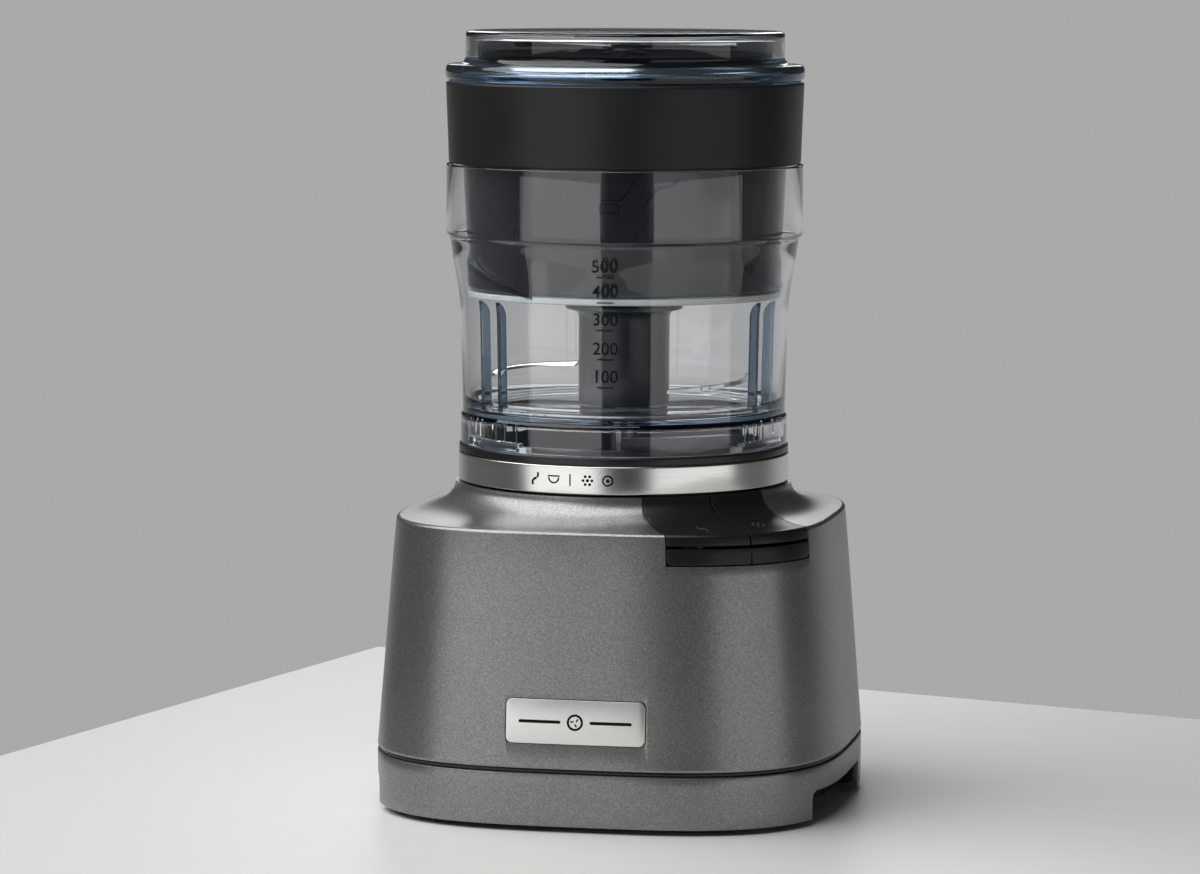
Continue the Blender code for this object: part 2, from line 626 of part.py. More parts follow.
# rotor: shaft, armature, commutator, fan and the drive spindle
keep(turned("rotor_shaft", [(0.0, 122.0), (2.4, 122.0), (3.0, 121.2), (3.0, 12.6), (2.4, 12.0), (0.0, 12.0)],
            14, closed=False), STEEL)
keep(turned("armature", [(23.6, 74.0), (23.6, 38.0), (3.3, 38.0), (3.3, 74.0)], 24), COPPER)
keep(turned("commutator", [(9.2, 87.0), (9.2, 77.4), (3.3, 77.4), (3.3, 87.0)], 18), COPPER)


def fan_outline(r0, r1, blades):
    pts = []
    for k in range(blades):
        a = math.tau * k / blades
        w0, w1 = 0.11, 0.035
        for r, d in ((r0, -w0), (r1, -w1 - 0.22), (r1, w1 - 0.22), (r0, w0)):
            pts.append((r * math.cos(a + d), r * math.sin(a + d)))
    return pts


def ring_outline(r, n):
    return [(r * math.cos(math.tau * k / n), r * math.sin(math.tau * k / n)) for k in range(n)]


keep(prism("cooling_fan", fan_outline(10.0, 30.0, 9), 13.4, 20.4, holes=[ring_outline(3.3, 14)]), NYLON)
keep(turned("drive_coupling", [(0.0, SPINDLE_TOP), (4.2, SPINDLE_TOP), (5.0, SPINDLE_TOP - 1.2), (5.0, 124.6),
                               (7.0, 123.4), (7.0, 121.4), (5.4, 121.0), (5.4, 112.0), (3.3, 112.0), (3.3, 122.3),
                               (0.0, 122.3)], 16, closed=False), STEEL)

# ---- control board on the tray
keep(block("control_board", (56.0, 30.0, 1.6), (0.0, 54.0, TRAY_FLOOR + 0.3 + 0.8)), BOARD)

# ================================================================ chopper bowl
bowl_outside = [(64.6, BOWL_RIM_Z), (64.6, 205.2), (63.4, 204.0), (62.6, 199.0), (61.3, 192.0), (60.2, 185.5),
                (59.4, 178.0), (59.1, 168.0), (58.6, 140.6), (59.3, 139.6), (59.3, BOWL_SKIRT_Z0)]
bowl_inside = [(56.8, BOWL_SKIRT_Z0), (56.8, 138.9), (6.6, 138.9), (6.6, 168.0), (9.0, 168.0),
               (9.0, BOWL_FLOOR_Z), (53.6, BOWL_FLOOR_Z), (56.2, 144.6), (56.8, 178.0), (57.9, 186.0),
               (60.4, 199.0), (62.3, 205.4), (62.3, BOWL_RIM_Z)]
chopper_bowl = keep(turned("chopper_bowl", bowl_outside + bowl_inside, ROUND, z=BOWL_SKIRT_Z0), CLEAR)
for i, a in enumerate(LUGS):
    lug = tool(prism("lug_%d" % (i + 1), sector(53.2, 57.6, a - LUG_HALF, a + LUG_HALF), 130.2, 133.0))
    boolean(chopper_bowl, lug, 'UNION')
smooth(chopper_bowl)

# ---- chopping blade: hub over the bowl's post, and two sickle blades
keep(turned("blade_hub", [(0.0, HUB_Z1), (20.6, HUB_Z1), (21.4, HUB_Z1 - 0.9), (21.4, 177.6), (17.0, 176.6),
                          (HUB_R, 175.0), (HUB_R, HUB_Z0), (9.6, HUB_Z0), (9.6, 168.6), (5.4, 168.6), (5.4, 174.4),
                          (0.0, 174.4)], 24, closed=False), BLACK)


def sickle(r0, r1, start, turn, width0, width1, n=9):
    """Outline of a curved blade from the hub to its tip.

    The leading edge sweeps by the turn angle while the radius grows.
    """
    lead, trail = [], []
    for i in range(n + 1):
        t = i / n
        r = r0 + (r1 - r0) * t
        a = math.radians(start + turn * t * t)
        half = (width0 + (width1 - width0) * t) / 2
        lead.append((r * math.cos(a) - half * math.sin(a), r * math.sin(a) + half * math.cos(a)))
        trail.append((r * math.cos(a) + half * math.sin(a), r * math.sin(a) - half * math.cos(a)))
    return trail + list(reversed(lead))


def blade(name, z_root, z_tip, start, turn, thick=1.4):
    """A sickle blade whose blank rises or falls from root to tip."""
    ob = prism(name, sickle(17.6, 52.0, start, turn, 13.0, 5.0), -thick / 2, thick / 2)
    for v in ob.data.vertices:
        r = math.hypot(v.co.x, v.co.y) / 0.001
        t = (r - 17.0) / 35.0
        v.co.z += mm(z_root + (z_tip - z_root) * t)
    return keep(ob, BLADE)


blade("upper_blade", 157.0, 155.6, 180.0, 38.0)
blade("lower_blade", 147.4, 150.8, 0.0, 38.0)

# ================================================================ grinding head
drum = [(60.9, 257.8), (60.9, 255.6), (59.4, 254.0), (59.2, 231.0), (57.2, 206.0), (57.0, 186.4), (3.5, 186.4),
        (3.5, 190.6), (8.0, 190.6), (8.0, 188.6), (54.8, 188.6), (55.0, 206.0), (57.0, 231.0), (57.2, 257.8)]
keep(turned("grinding_drum", drum, ROUND, z=186.4), DARK)
keep(turned("drum_seal", [(57.1, 186.1), (57.1, 184.3), (56.6, 183.9), (53.6, 183.9), (53.6, 186.1)], ROUND), SILICONE)
keep(turned("collar_band", [(64.2, BAND_Z1), (64.7, BAND_Z1 - 0.6), (63.9, BAND_Z0 + 8.0), (63.7, BAND_Z0 + 0.5),
                            (63.3, BAND_Z0), (61.4, BAND_Z0), (61.4, 258.1), (58.0, 258.1), (58.0, BAND_Z1)], ROUND),
     BLACK)
# Shallow pan above the drum, with the grinding blade over its floor.
keep(turned("grinding_pan", [(53.6, 275.4), (53.6, 261.9), (57.6, 261.0), (57.6, 258.1), (50.8, 258.1), (50.8, 266.6),
                             (7.6, 266.6), (7.6, 269.4), (51.9, 269.4), (51.9, 275.4)], ROUND), SMOKED)
keep(turned("mill_bearing", [(7.3, 270.0), (7.3, 262.0), (3.4, 262.0), (3.4, 270.0)], 16), BRONZE)
keep(turned("mill_spindle", [(0.0, 271.7), (6.4, 271.7), (6.4, 270.4), (3.1, 270.4), (3.1, 185.2), (8.0, 184.6), (8.0, 180.6),
                             (0.0, 180.6)], 14, closed=False), STEEL)


def twisted_bar(name, r, width_mid, width_tip, lift, pitch, thick):
    """A two-armed blade: flat at the middle, its arms raised and pitched."""
    me = bpy.data.meshes.new(name)
    bm = bmesh.new()
    bmesh.ops.create_grid(bm, x_segments=10, y_segments=2, size=1.0)
    for v in bm.verts:
        x, y = v.co.x * r, v.co.y
        t = max((abs(x) - 9.0) / (r - 9.0), 0.0)
        y *= (width_mid + (width_tip - width_mid) * t) / 2
        v.co = (mm(x), mm(y), mm(lift * t + math.copysign(pitch * t, x) * y))
    bm.to_mesh(me)
    bm.free()
    ob = bpy.data.objects.new(name, me)
    parts.objects.link(ob)
    s = ob.modifiers.new("gauge", 'SOLIDIFY')
    s.thickness = mm(thick)
    s.offset = 0.0
    return ob


MILL_TURN = 10.0
mill_blade = keep(twisted_bar("mill_blade", 40.0, 13.0, 11.0, 0.7, 0.16, 1.2), BLADE)
mill_blade.location.z = mm(MILL_Z + 0.6)
mill_blade.rotation_euler.z = math.radians(MILL_TURN)
keep(turned("mill_nut", [(0.0, 275.3), (4.6, 275.3), (5.6, 274.6), (5.6, 273.5), (0.0, 273.5)], 6, closed=False), STEEL)

# ================================================================ lid
keep(turned("clear_lid", [(0.0, LID_TOP_Z), (56.2, LID_TOP_Z), (57.3, LID_TOP_Z - 0.5), (57.7, LID_TOP_Z - 1.6),
                          (57.7, 268.4), (58.6, LID_FLANGE_Z1), (63.6, LID_FLANGE_Z1 - 0.4), (65.0, 264.6),
                          (65.0, 262.4), (64.0, 260.6), (61.9, 260.6), (61.9, 263.4), (58.4, 263.4), (55.2, 265.4),
                          (55.2, LID_TOP_Z - 2.4), (0.0, LID_TOP_Z - 2.4)], ROUND, closed=False, z=260.6), CLEAR)
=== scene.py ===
import bpy
import bmesh
import math
import numpy as np
from mathutils import Matrix, Vector


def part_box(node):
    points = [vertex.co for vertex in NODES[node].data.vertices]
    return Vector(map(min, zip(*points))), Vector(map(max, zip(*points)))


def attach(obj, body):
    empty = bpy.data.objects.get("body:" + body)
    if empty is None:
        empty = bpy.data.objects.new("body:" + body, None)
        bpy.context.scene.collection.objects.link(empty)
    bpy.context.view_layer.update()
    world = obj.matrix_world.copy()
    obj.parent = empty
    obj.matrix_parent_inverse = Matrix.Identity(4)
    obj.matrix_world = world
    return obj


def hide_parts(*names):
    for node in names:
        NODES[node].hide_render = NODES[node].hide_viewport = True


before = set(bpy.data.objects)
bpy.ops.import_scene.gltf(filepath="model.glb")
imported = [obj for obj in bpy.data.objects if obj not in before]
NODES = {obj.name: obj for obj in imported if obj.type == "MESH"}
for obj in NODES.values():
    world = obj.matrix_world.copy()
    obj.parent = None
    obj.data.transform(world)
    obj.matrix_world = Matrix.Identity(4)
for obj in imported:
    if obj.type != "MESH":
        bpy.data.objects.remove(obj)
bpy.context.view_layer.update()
scene = bpy.context.scene
MM = 0.001
rnd = np.random.default_rng(7)

# Dimensions that follow the frame, in millimetres
SQ = 3.15
SKIRT_HALF, SEAM_HALF, SHELF_HALF, WALL = 84.5, 84.7, 78.3, 2.4
Z_SKIRT, Z_SEAM, Z_HOUSING, Z_SHELF, Z_DECK, SWEEP_R = 2.0, 20.8, 22.4, 105.2, 115.6, 61.0
CONTROL_ANGLE = 41.5
LID_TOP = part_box("clear_lid")[1].z * 1000


# ====================================================================== meshes
def new_object(name, me):
    ob = bpy.data.objects.new(name, me)
    scene.collection.objects.link(ob)
    return ob


def build(name, verts, faces, sharp=32, recalc=True):
    me = bpy.data.meshes.new(name)
    me.from_pydata([tuple(float(c) * MM for c in v) for v in verts], [], faces)
    if recalc:
        bm = bmesh.new()
        bm.from_mesh(me)
        bmesh.ops.recalc_face_normals(bm, faces=bm.faces)
        bm.to_mesh(me)
        bm.free()
    me.shade_smooth()
    me.set_sharp_from_angle(angle=math.radians(sharp))
    return new_object(name, me)


def rounded(points, segs=4, closed=True):
    """A profile with its corners rounded: (r, z) stays sharp, (r, z, f) is eased over f millimetres."""
    out, n = [], len(points)
    for i, p in enumerate(points):
        f = p[2] if len(p) > 2 else 0.0
        if not f or (not closed and i in (0, n - 1)):
            out.append((p[0], p[1]))
            continue
        a, b = np.array(points[i - 1][:2], float), np.array(points[(i + 1) % n][:2], float)
        c = np.array(p[:2], float)
        da, db = a - c, b - c
        la, lb = np.linalg.norm(da), np.linalg.norm(db)
        f = min(f, la * 0.48, lb * 0.48)
        s, e = c + da / la * f, c + db / lb * f
        for k in range(segs + 1):
            t = k / segs
            q = (1 - t) ** 2 * s + 2 * t * (1 - t) * c + t * t * e
            out.append((q[0], q[1]))
    return out


def turned(name, points, steps=192, closed=True, segs=4, sharp=32):
    """A turned piece about the machine's axis from a profile of radius and height."""
    prof = rounded(points, segs, closed)
    n = len(prof)
    verts, faces, idx = [], [], []
    for i, (r, z) in enumerate(prof):
        if r < 1e-6:
            idx.append([len(verts)] * steps)
            verts.append((0, 0, z))
        else:
            base = len(verts)
            for k in range(steps):
                a = math.tau * k / steps
                verts.append((r * math.cos(a), r * math.sin(a), z))
            idx.append([base + k for k in range(steps)])
    rows = list(zip(idx, idx[1:]))
    if closed:
        rows.append((idx[-1], idx[0]))
    for A, B in rows:
        for k in range(steps):
            j = (k + 1) % steps
            q = []
            for v in (A[k], A[j], B[j], B[k]):
                if v not in q:
                    q.append(v)
            if len(q) > 2:
                faces.append(q)
    return build(name, verts, faces, sharp)


_dense = None


def squircle(half, count=240):
    """The base outline at equal steps along its length, from +X."""
    global _dense
    if _dense is None:
        t = np.linspace(0, math.tau, 8001)
        c, s = np.cos(t), np.sin(t)
        x, y = np.sign(c) * np.abs(c) ** (2 / SQ), np.sign(s) * np.abs(s) ** (2 / SQ)
        d = np.concatenate([[0], np.cumsum(np.hypot(np.diff(x), np.diff(y)))])
        _dense = (x, y, d)
    x, y, d = _dense
    u = np.linspace(0, d[-1], count, endpoint=False)
    return np.stack([np.interp(u, d, x) * half, np.interp(u, d, y) * half], 1)


def half_at(z):
    return SEAM_HALF + (SHELF_HALF - SEAM_HALF) * (z - Z_HOUSING) / (Z_SHELF - Z_HOUSING)


def squircle_x(half, y):
    return half * (1 - (abs(y) / half) ** SQ) ** (1 / SQ)


def circle_like(outline, radius):
    return outline / np.linalg.norm(outline, axis=1)[:, None] * radius


def loft(name, rings, wrap=True, sharp=32):
    """Rings of equal count, joined; wrap joins the last to the first."""
    verts, faces, n = [], [], len(rings[0][0])
    for pts, z in rings:
        zz = np.broadcast_to(z, (n,))
        verts += [(p[0], p[1], h) for p, h in zip(pts, zz)]
    pairs = [(i, i + 1) for i in range(len(rings) - 1)]
    if wrap:
        pairs.append((len(rings) - 1, 0))
    for a, b in pairs:
        for i in range(n):
            j = (i + 1) % n
            faces.append((a * n + i, a * n + j, b * n + j, b * n + i))
    return build(name, verts, faces, sharp)


def skin_rings(inset, z0, count, lift=0.0, rise=14, foot=True):
    """The base's outer skin from z0 up to the deck, moved inwards by inset."""
    rings = []
    if foot:
        rings += [(squircle(half_at(z0) - inset - 0.55, count), z0),
                  (squircle(half_at(z0) - inset - 0.16, count), z0 + 0.16),
                  (squircle(half_at(z0) - inset, count), z0 + 0.55)]
    else:
        rings.append((squircle(half_at(z0) - inset, count), z0))
    top = Z_SHELF - inset
    e = min(1.5, (top - z0) * 0.6)
    first = 1.2 if foot else 0.25 * (top - e - z0)
    zs = np.linspace(z0 + first, top - e, 7 if top - z0 > 20 else 3)
    rings += [(squircle(half_at(z) - inset, count), z) for z in zs[:-1]]
    for k in range(0, 6):
        a = math.pi / 2 * k / 5
        rings.append((squircle(half_at(top) - inset - e * (1 - math.cos(a)), count), top - e + e * math.sin(a)))
    outer = squircle(half_at(top) - inset - e, count)
    inner = circle_like(outer, SWEEP_R - inset)
    for k in range(1, rise + 1):
        a = math.pi / 2 * k / rise
        s = math.sin(a)
        rings.append(((1 - s) * outer + s * inner, top + (Z_DECK + lift - Z_SHELF) * (1 - math.cos(a))))
    return rings


def boolean(obj, cutter, op="DIFFERENCE", solver="EXACT"):
    m = obj.modifiers.new("cut", "BOOLEAN")
    m.operation, m.object, m.solver = op, cutter, solver
    bpy.context.view_layer.update()
    dg = bpy.context.evaluated_depsgraph_get()
    me = bpy.data.meshes.new_from_object(obj.evaluated_get(dg))
    obj.modifiers.clear()
    old = obj.data
    obj.data = me
    bpy.data.meshes.remove(old)
    return obj


def drop(*objs):
    for o in objs:
        bpy.data.objects.remove(o, do_unlink=True)


def resharp(obj, angle=32):
    obj.data.shade_smooth()
    obj.data.set_sharp_from_angle(angle=math.radians(angle))
    return obj


def bevelled(obj, width, segments=2, angle=40):
    """Ease the hard edges of a mesh and keep the result in it."""
    b = obj.modifiers.new("ease", "BEVEL")
    b.width, b.segments, b.limit_method, b.angle_limit = width * MM, segments, "ANGLE", math.radians(angle)
    b.use_clamp_overlap = True
    b.harden_normals = False
    bpy.context.view_layer.update()
    dg = bpy.context.evaluated_depsgraph_get()
    me = bpy.data.meshes.new_from_object(obj.evaluated_get(dg))
    obj.modifiers.clear()
    obj.data = me
    return resharp(obj, 36)


def prism(name, outline, z0, z1, ease=0.0, sharp=32):
    """An outline (counter-clockwise) between two heights, as one closed solid."""
    n = len(outline)
    verts = [(x, y, z0) for x, y in outline] + [(x, y, z1) for x, y in outline]
    faces = [tuple(reversed(range(n))), tuple(range(n, 2 * n))]
    faces += [(i, (i + 1) % n, n + (i + 1) % n, n + i) for i in range(n)]
    ob = build(name, verts, faces, sharp)
    return bevelled(ob, ease) if ease else ob


def box(name, size, centre, turn=0.0, ease=0.0):
    hx, hy, hz = (s / 2 for s in size)
    c, s = math.cos(math.radians(turn)), math.sin(math.radians(turn))
    pts = [(c * x - s * y + centre[0], s * x + c * y + centre[1])
           for x, y in ((-hx, -hy), (hx, -hy), (hx, hy), (-hx, hy))]
    return prism(name, pts, centre[2] - hz, centre[2] + hz, ease)


def joined(name, objs):
    """Several meshes as one piece."""
    bm = bmesh.new()
    mats = []
    for o in objs:
        o.data.transform(o.matrix_basis)
        bm.from_mesh(o.data)
    me = bpy.data.meshes.new(name)
    bm.to_mesh(me)
    bm.free()
    drop(*objs)
    ob = new_object(name, me)
    return resharp(ob)


def wrapped_outline(name, loops, place, depth=0.25, cell=0.5):
    """A thin inlay: flat outlines (u, v in mm) filled, given a thickness, and laid on a surface by place(u, v, w)."""
    cu = bpy.data.curves.new(name, "CURVE")
    cu.dimensions, cu.fill_mode = "2D", "BOTH"
    cu.extrude = depth / 2
    for loop in loops:
        sp = cu.splines.new("POLY")
        sp.points.add(len(loop) - 1)
        for p, (x, y) in zip(sp.points, loop):
            p.co = (x, y, 0, 1)
        sp.use_cyclic_u = True
    ob = new_object(name, cu)
    return lay(ob, name, place, cell)


def lay(ob, name, place, cell=0.5):
    bpy.context.view_layer.update()
    dg = bpy.context.evaluated_depsgraph_get()
    me = bpy.data.meshes.new_from_object(ob.evaluated_get(dg))
    bpy.data.objects.remove(ob, do_unlink=True)
    bm = bmesh.new()
    bm.from_mesh(me)
    bmesh.ops.remove_doubles(bm, verts=bm.verts, dist=1e-4)
    for _ in range(4):
        long = [e for e in bm.edges if e.calc_length() > 2.0]
        if not long:
            break
        bmesh.ops.subdivide_edges(bm, edges=long, cuts=1)
    bmesh.ops.triangulate(bm, faces=bm.faces)
    for v in bm.verts:
        x, y, z = place(v.co.x, v.co.y, v.co.z)
        v.co = (x * MM, y * MM, z * MM)
    bmesh.ops.recalc_face_normals(bm, faces=bm.faces)
    bm.to_mesh(me)
    bm.free()
    out = new_object(name, me)
    out.data.name = name
    return resharp(out, 40)


def arc_loop(cx, cy, r, n=28):
    return [(cx + r * math.cos(math.tau * k / n), cy + r * math.sin(math.tau * k / n)) for k in range(n)]


def bar_loop(x0, x1, y0, y1, r=0.0, n=4):
    if not r:
        return [(x0, y0), (x1, y0), (x1, y1), (x0, y1)]
    pts = []
    for cx, cy, a0 in ((x1 - r, y0 + r, -90), (x1 - r, y1 - r, 0), (x0 + r, y1 - r, 90), (x0 + r, y0 + r, 180)):
        for k in range(n + 1):
            a = math.radians(a0 + 90 * k / n)
            pts.append((cx + r * math.cos(a), cy + r * math.sin(a)))
    return pts


def stroke(points, w):
    """The outline of a line of width w through points."""
    left, right = [], []
    for i, p in enumerate(points):
        a = np.array(points[max(i - 1, 0)], float)
        b = np.array(points[min(i + 1, len(points) - 1)], float)
        d = (b - a) / np.linalg.norm(b - a)
        nrm = np.array((-d[1], d[0])) * w / 2
        left.append(tuple(np.array(p) + nrm))
        right.append(tuple(np.array(p) - nrm))
    return right + list(reversed(left))


# =================================================================== materials
def nodes_of(name):
    m = bpy.data.materials.new(name)
    m.use_nodes = True
    nt = m.node_tree
    return m, nt, nt.nodes["Principled BSDF"], nt.nodes["Material Output"]


def add(nt, kind, **values):
    n = nt.nodes.new(kind)
    for k, v in values.items():
        if hasattr(n, k) and k not in n.inputs:
            setattr(n, k, v)
        else:
            n.inputs[k].default_value = v
    return n


def coords(nt):
    return nt.nodes.new("ShaderNodeTexCoord").outputs["Object"]


def ring_coords(nt, around=1.0, up=1.0):
    """Coordinates that run round the axis and up it, so that a pattern can follow turning marks."""
    sep = nt.nodes.new("ShaderNodeSeparateXYZ")
    nt.links.new(coords(nt), sep.inputs[0])
    at = add(nt, "ShaderNodeMath", operation="ARCTAN2")
    nt.links.new(sep.outputs["Y"], at.inputs[0])
    nt.links.new(sep.outputs["X"], at.inputs[1])
    ln = nt.nodes.new("ShaderNodeVectorMath")
    ln.operation = "LENGTH"
    flat = nt.nodes.new("ShaderNodeCombineXYZ")
    nt.links.new(sep.outputs["X"], flat.inputs[0])
    nt.links.new(sep.outputs["Y"], flat.inputs[1])
    nt.links.new(flat.outputs[0], ln.inputs[0])
    a = add(nt, "ShaderNodeMath", operation="MULTIPLY")
    a.inputs[1].default_value = around
    nt.links.new(at.outputs[0], a.inputs[0])
    u = add(nt, "ShaderNodeMath", operation="MULTIPLY")
    u.inputs[1].default_value = up
    nt.links.new(sep.outputs["Z"], u.inputs[0])
    r = add(nt, "ShaderNodeMath", operation="MULTIPLY")
    r.inputs[1].default_value = up
    nt.links.new(ln.outputs["Value"], r.inputs[0])
    out = nt.nodes.new("ShaderNodeCombineXYZ")
    nt.links.new(a.outputs[0], out.inputs[0])
    nt.links.new(r.outputs[0], out.inputs[1])
    nt.links.new(u.outputs[0], out.inputs[2])
    return out.outputs[0]


def ramp(nt, source, stops):
    r = nt.nodes.new("ShaderNodeValToRGB")
    e = r.color_ramp.elements
    while len(e) < len(stops):
        e.new(0.5)
    for el, (pos, col) in zip(e, stops):
        el.position = pos
        el.color = (*col, 1.0) if len(col) == 3 else col
    nt.links.new(source, r.inputs[0])
    return r


def grey(v):
    return (v, v, v)


def remap(nt, source, lo, hi):
    r = nt.nodes.new("ShaderNodeMapRange")
    r.inputs["To Min"].default_value, r.inputs["To Max"].default_value = lo, hi
    nt.links.new(source, r.inputs["Value"])
    return r.outputs["Result"]


def bump(nt, p, height, strength, distance):
    b = nt.nodes.new("ShaderNodeBump")
    b.inputs["Strength"].default_value, b.inputs["Distance"].default_value = strength, distance
    nt.links.new(height, b.inputs["Height"])
    nt.links.new(b.outputs["Normal"], p.inputs["Normal"])
    return b


def moulded(name, rgb, rough, spread=0.06, grain=2600.0, depth=0.00002, strength=0.25, tone=0.12, metal=0.0,
            spec=0.5, coat=0.0):
    """Moulded plastic or rubber: fine texture, with slight changes of tone and gloss."""
    m, nt, p, out = nodes_of(name)
    c = coords(nt)
    fine = add(nt, "ShaderNodeTexNoise", Scale=grain, Detail=2.0)
    wide = add(nt, "ShaderNodeTexNoise", Scale=38.0, Detail=4.0, Roughness=0.6)
    for n in (fine, wide):
        nt.links.new(c, n.inputs["Vector"])
    lo = tuple(v * (1 - tone) for v in rgb)
    hi = tuple(min(v * (1 + tone) + 0.001, 1) for v in rgb)
    col = ramp(nt, wide.outputs["Fac"], [(0.3, lo), (0.7, hi)])
    nt.links.new(col.outputs[0], p.inputs["Base Color"])
    nt.links.new(remap(nt, wide.outputs["Fac"], rough - spread, rough + spread), p.inputs["Roughness"])
    bump(nt, p, fine.outputs["Fac"], strength, depth)
    p.inputs["Metallic"].default_value = metal
    p.inputs["Specular IOR Level"].default_value = spec
    p.inputs["Coat Weight"].default_value = coat
    return m


def flake_paint(name, rgb, rough):
    """Metallic paint: silver flakes a third of a millimetre apart in a dark base, under fine orange peel."""
    m, nt, p, out = nodes_of(name)
    c = coords(nt)
    fl = add(nt, "ShaderNodeTexVoronoi", Scale=3100.0)
    grain = add(nt, "ShaderNodeTexNoise", Scale=1500.0, Detail=2.0, Roughness=0.6)
    wide = add(nt, "ShaderNodeTexNoise", Scale=24.0, Detail=3.0)
    peel = add(nt, "ShaderNodeTexNoise", Scale=900.0, Detail=1.0)
    for n in (fl, grain, wide, peel):
        nt.links.new(c, n.inputs["Vector"])
    sep = nt.nodes.new("ShaderNodeSeparateColor")
    nt.links.new(fl.outputs["Color"], sep.inputs[0])
    flake = remap(nt, sep.outputs[0], 0.0, 0.62)
    soft = remap(nt, grain.outputs["Fac"], 0.0, 0.38)
    mix = add(nt, "ShaderNodeMath", operation="ADD")
    nt.links.new(flake, mix.inputs[0])
    nt.links.new(soft, mix.inputs[1])
    dark = tuple(v * 0.80 for v in rgb)
    spark = tuple(min(v * 1.55, 1) for v in rgb)
    col = ramp(nt, mix.outputs[0], [(0.10, dark), (0.50, rgb), (0.90, spark)])
    nt.links.new(col.outputs[0], p.inputs["Base Color"])
    nt.links.new(remap(nt, wide.outputs["Fac"], rough - 0.02, rough + 0.02), p.inputs["Roughness"])
    p.inputs["Metallic"].default_value = 0.85
    p.inputs["Specular IOR Level"].default_value = 0.4
    hgt = add(nt, "ShaderNodeMath", operation="ADD")
    nt.links.new(sep.outputs[1], hgt.inputs[0])
    nt.links.new(peel.outputs["Fac"], hgt.inputs[1])
    bump(nt, p, hgt.outputs[0], 0.05, 0.00003)
    return m


def brushed(name, rgb, rough, around=14.0, up=5200.0, strength=0.10, tone=0.10, aniso=0.6, linear=False):
    """Steel with fine marks that run round the axis, or along X if linear."""
    m, nt, p, out = nodes_of(name)
    if linear:
        mp = nt.nodes.new("ShaderNodeMapping")
        mp.inputs["Scale"].default_value = (around * 4, up, up)
        nt.links.new(coords(nt), mp.inputs["Vector"])
        v = mp.outputs[0]
    else:
        v = ring_coords(nt, around, up)
    fine = add(nt, "ShaderNodeTexNoise", Scale=1.0, Detail=3.0, Roughness=0.7)
    nt.links.new(v, fine.inputs["Vector"])
    wide = add(nt, "ShaderNodeTexNoise", Scale=30.0, Detail=2.0)
    nt.links.new(coords(nt), wide.inputs["Vector"])
    lo, hi = tuple(c * (1 - tone) for c in rgb), tuple(min(c * (1 + tone), 1) for c in rgb)
    col = ramp(nt, fine.outputs["Fac"], [(0.35, lo), (0.65, hi)])
    nt.links.new(col.outputs[0], p.inputs["Base Color"])
    nt.links.new(remap(nt, wide.outputs["Fac"], rough - 0.04, rough + 0.04), p.inputs["Roughness"])
    p.inputs["Metallic"].default_value = 1.0
    p.inputs["Anisotropic"].default_value = aniso
    bump(nt, p, fine.outputs["Fac"], strength, 0.00002)
    return m


def clear(name, tint, rough=0.0, density=0.0, absorb=(0.5, 0.75, 0.9), ior=1.5, lets=(0.86, 0.9, 0.93)):
    """Clear plastic: a trace of haze and moulding waves, thick edges that turn blue-grey, and lamp light let through."""
    m, nt, p, out = nodes_of(name)
    c = coords(nt)
    haze = add(nt, "ShaderNodeTexNoise", Scale=55.0, Detail=4.0, Roughness=0.65)
    wave = add(nt, "ShaderNodeTexNoise", Scale=85.0, Detail=1.0)
    for n in (haze, wave):
        nt.links.new(c, n.inputs["Vector"])
    lo, hi = tuple(v * 0.985 for v in tint), tint
    col = ramp(nt, haze.outputs["Fac"], [(0.35, lo), (0.65, hi)])
    nt.links.new(col.outputs[0], p.inputs["Base Color"])
    nt.links.new(remap(nt, haze.outputs["Fac"], rough, rough + 0.025), p.inputs["Roughness"])
    p.inputs["Transmission Weight"].default_value = 1.0
    p.inputs["IOR"].default_value = ior
    bump(nt, p, wave.outputs["Fac"], 0.05, 0.0003)
    lp = nt.nodes.new("ShaderNodeLightPath")
    tr = nt.nodes.new("ShaderNodeBsdfTransparent")
    tr.inputs["Color"].default_value = (*lets, 1)
    mx = nt.nodes.new("ShaderNodeMixShader")
    nt.links.new(lp.outputs["Is Shadow Ray"], mx.inputs["Fac"])
    nt.links.new(p.outputs[0], mx.inputs[1])
    nt.links.new(tr.outputs[0], mx.inputs[2])
    nt.links.new(mx.outputs[0], out.inputs["Surface"])
    if density:
        va = nt.nodes.new("ShaderNodeVolumeAbsorption")
        va.inputs["Color"].default_value = (*absorb, 1)
        va.inputs["Density"].default_value = density
        nt.links.new(va.outputs[0], out.inputs["Volume"])
    return m


PAINT = flake_paint("metallic_paint", (0.232, 0.231, 0.230), 0.33)
STEEL = brushed("brushed_steel", (0.76, 0.75, 0.73), 0.21, around=2.2, up=4200.0, strength=0.02, tone=0.05, aniso=0.6)
BLADE = brushed("ground_steel", (0.78, 0.78, 0.77), 0.14, around=40.0, up=1500.0, strength=0.04, tone=0.05, aniso=0.0)
SPINDLE = brushed("turned_steel", (0.6, 0.6, 0.59), 0.26)
BLACK = moulded("satin_black", (0.007, 0.007, 0.008), 0.34, grain=1900.0, strength=0.12, depth=0.00002, spec=0.36)
BAND = moulded("matt_black_band", (0.0085, 0.0085, 0.0095), 0.42, grain=2200.0, strength=0.3, depth=0.00003, spec=0.38)
HUBM = moulded("black_hub", (0.02, 0.021, 0.024), 0.30, grain=1500.0, strength=0.08)
DARK = moulded("dark_grey_plastic", (0.016, 0.016, 0.018), 0.14, spread=0.03, grain=900.0, strength=0.04, tone=0.06)
SEAT = moulded("seat_plastic", (0.04, 0.04, 0.045), 0.3, grain=1500.0, strength=0.1)
RUBBER = moulded("black_rubber", (0.012, 0.012, 0.013), 0.62, grain=1300.0, strength=0.5, depth=0.00005)
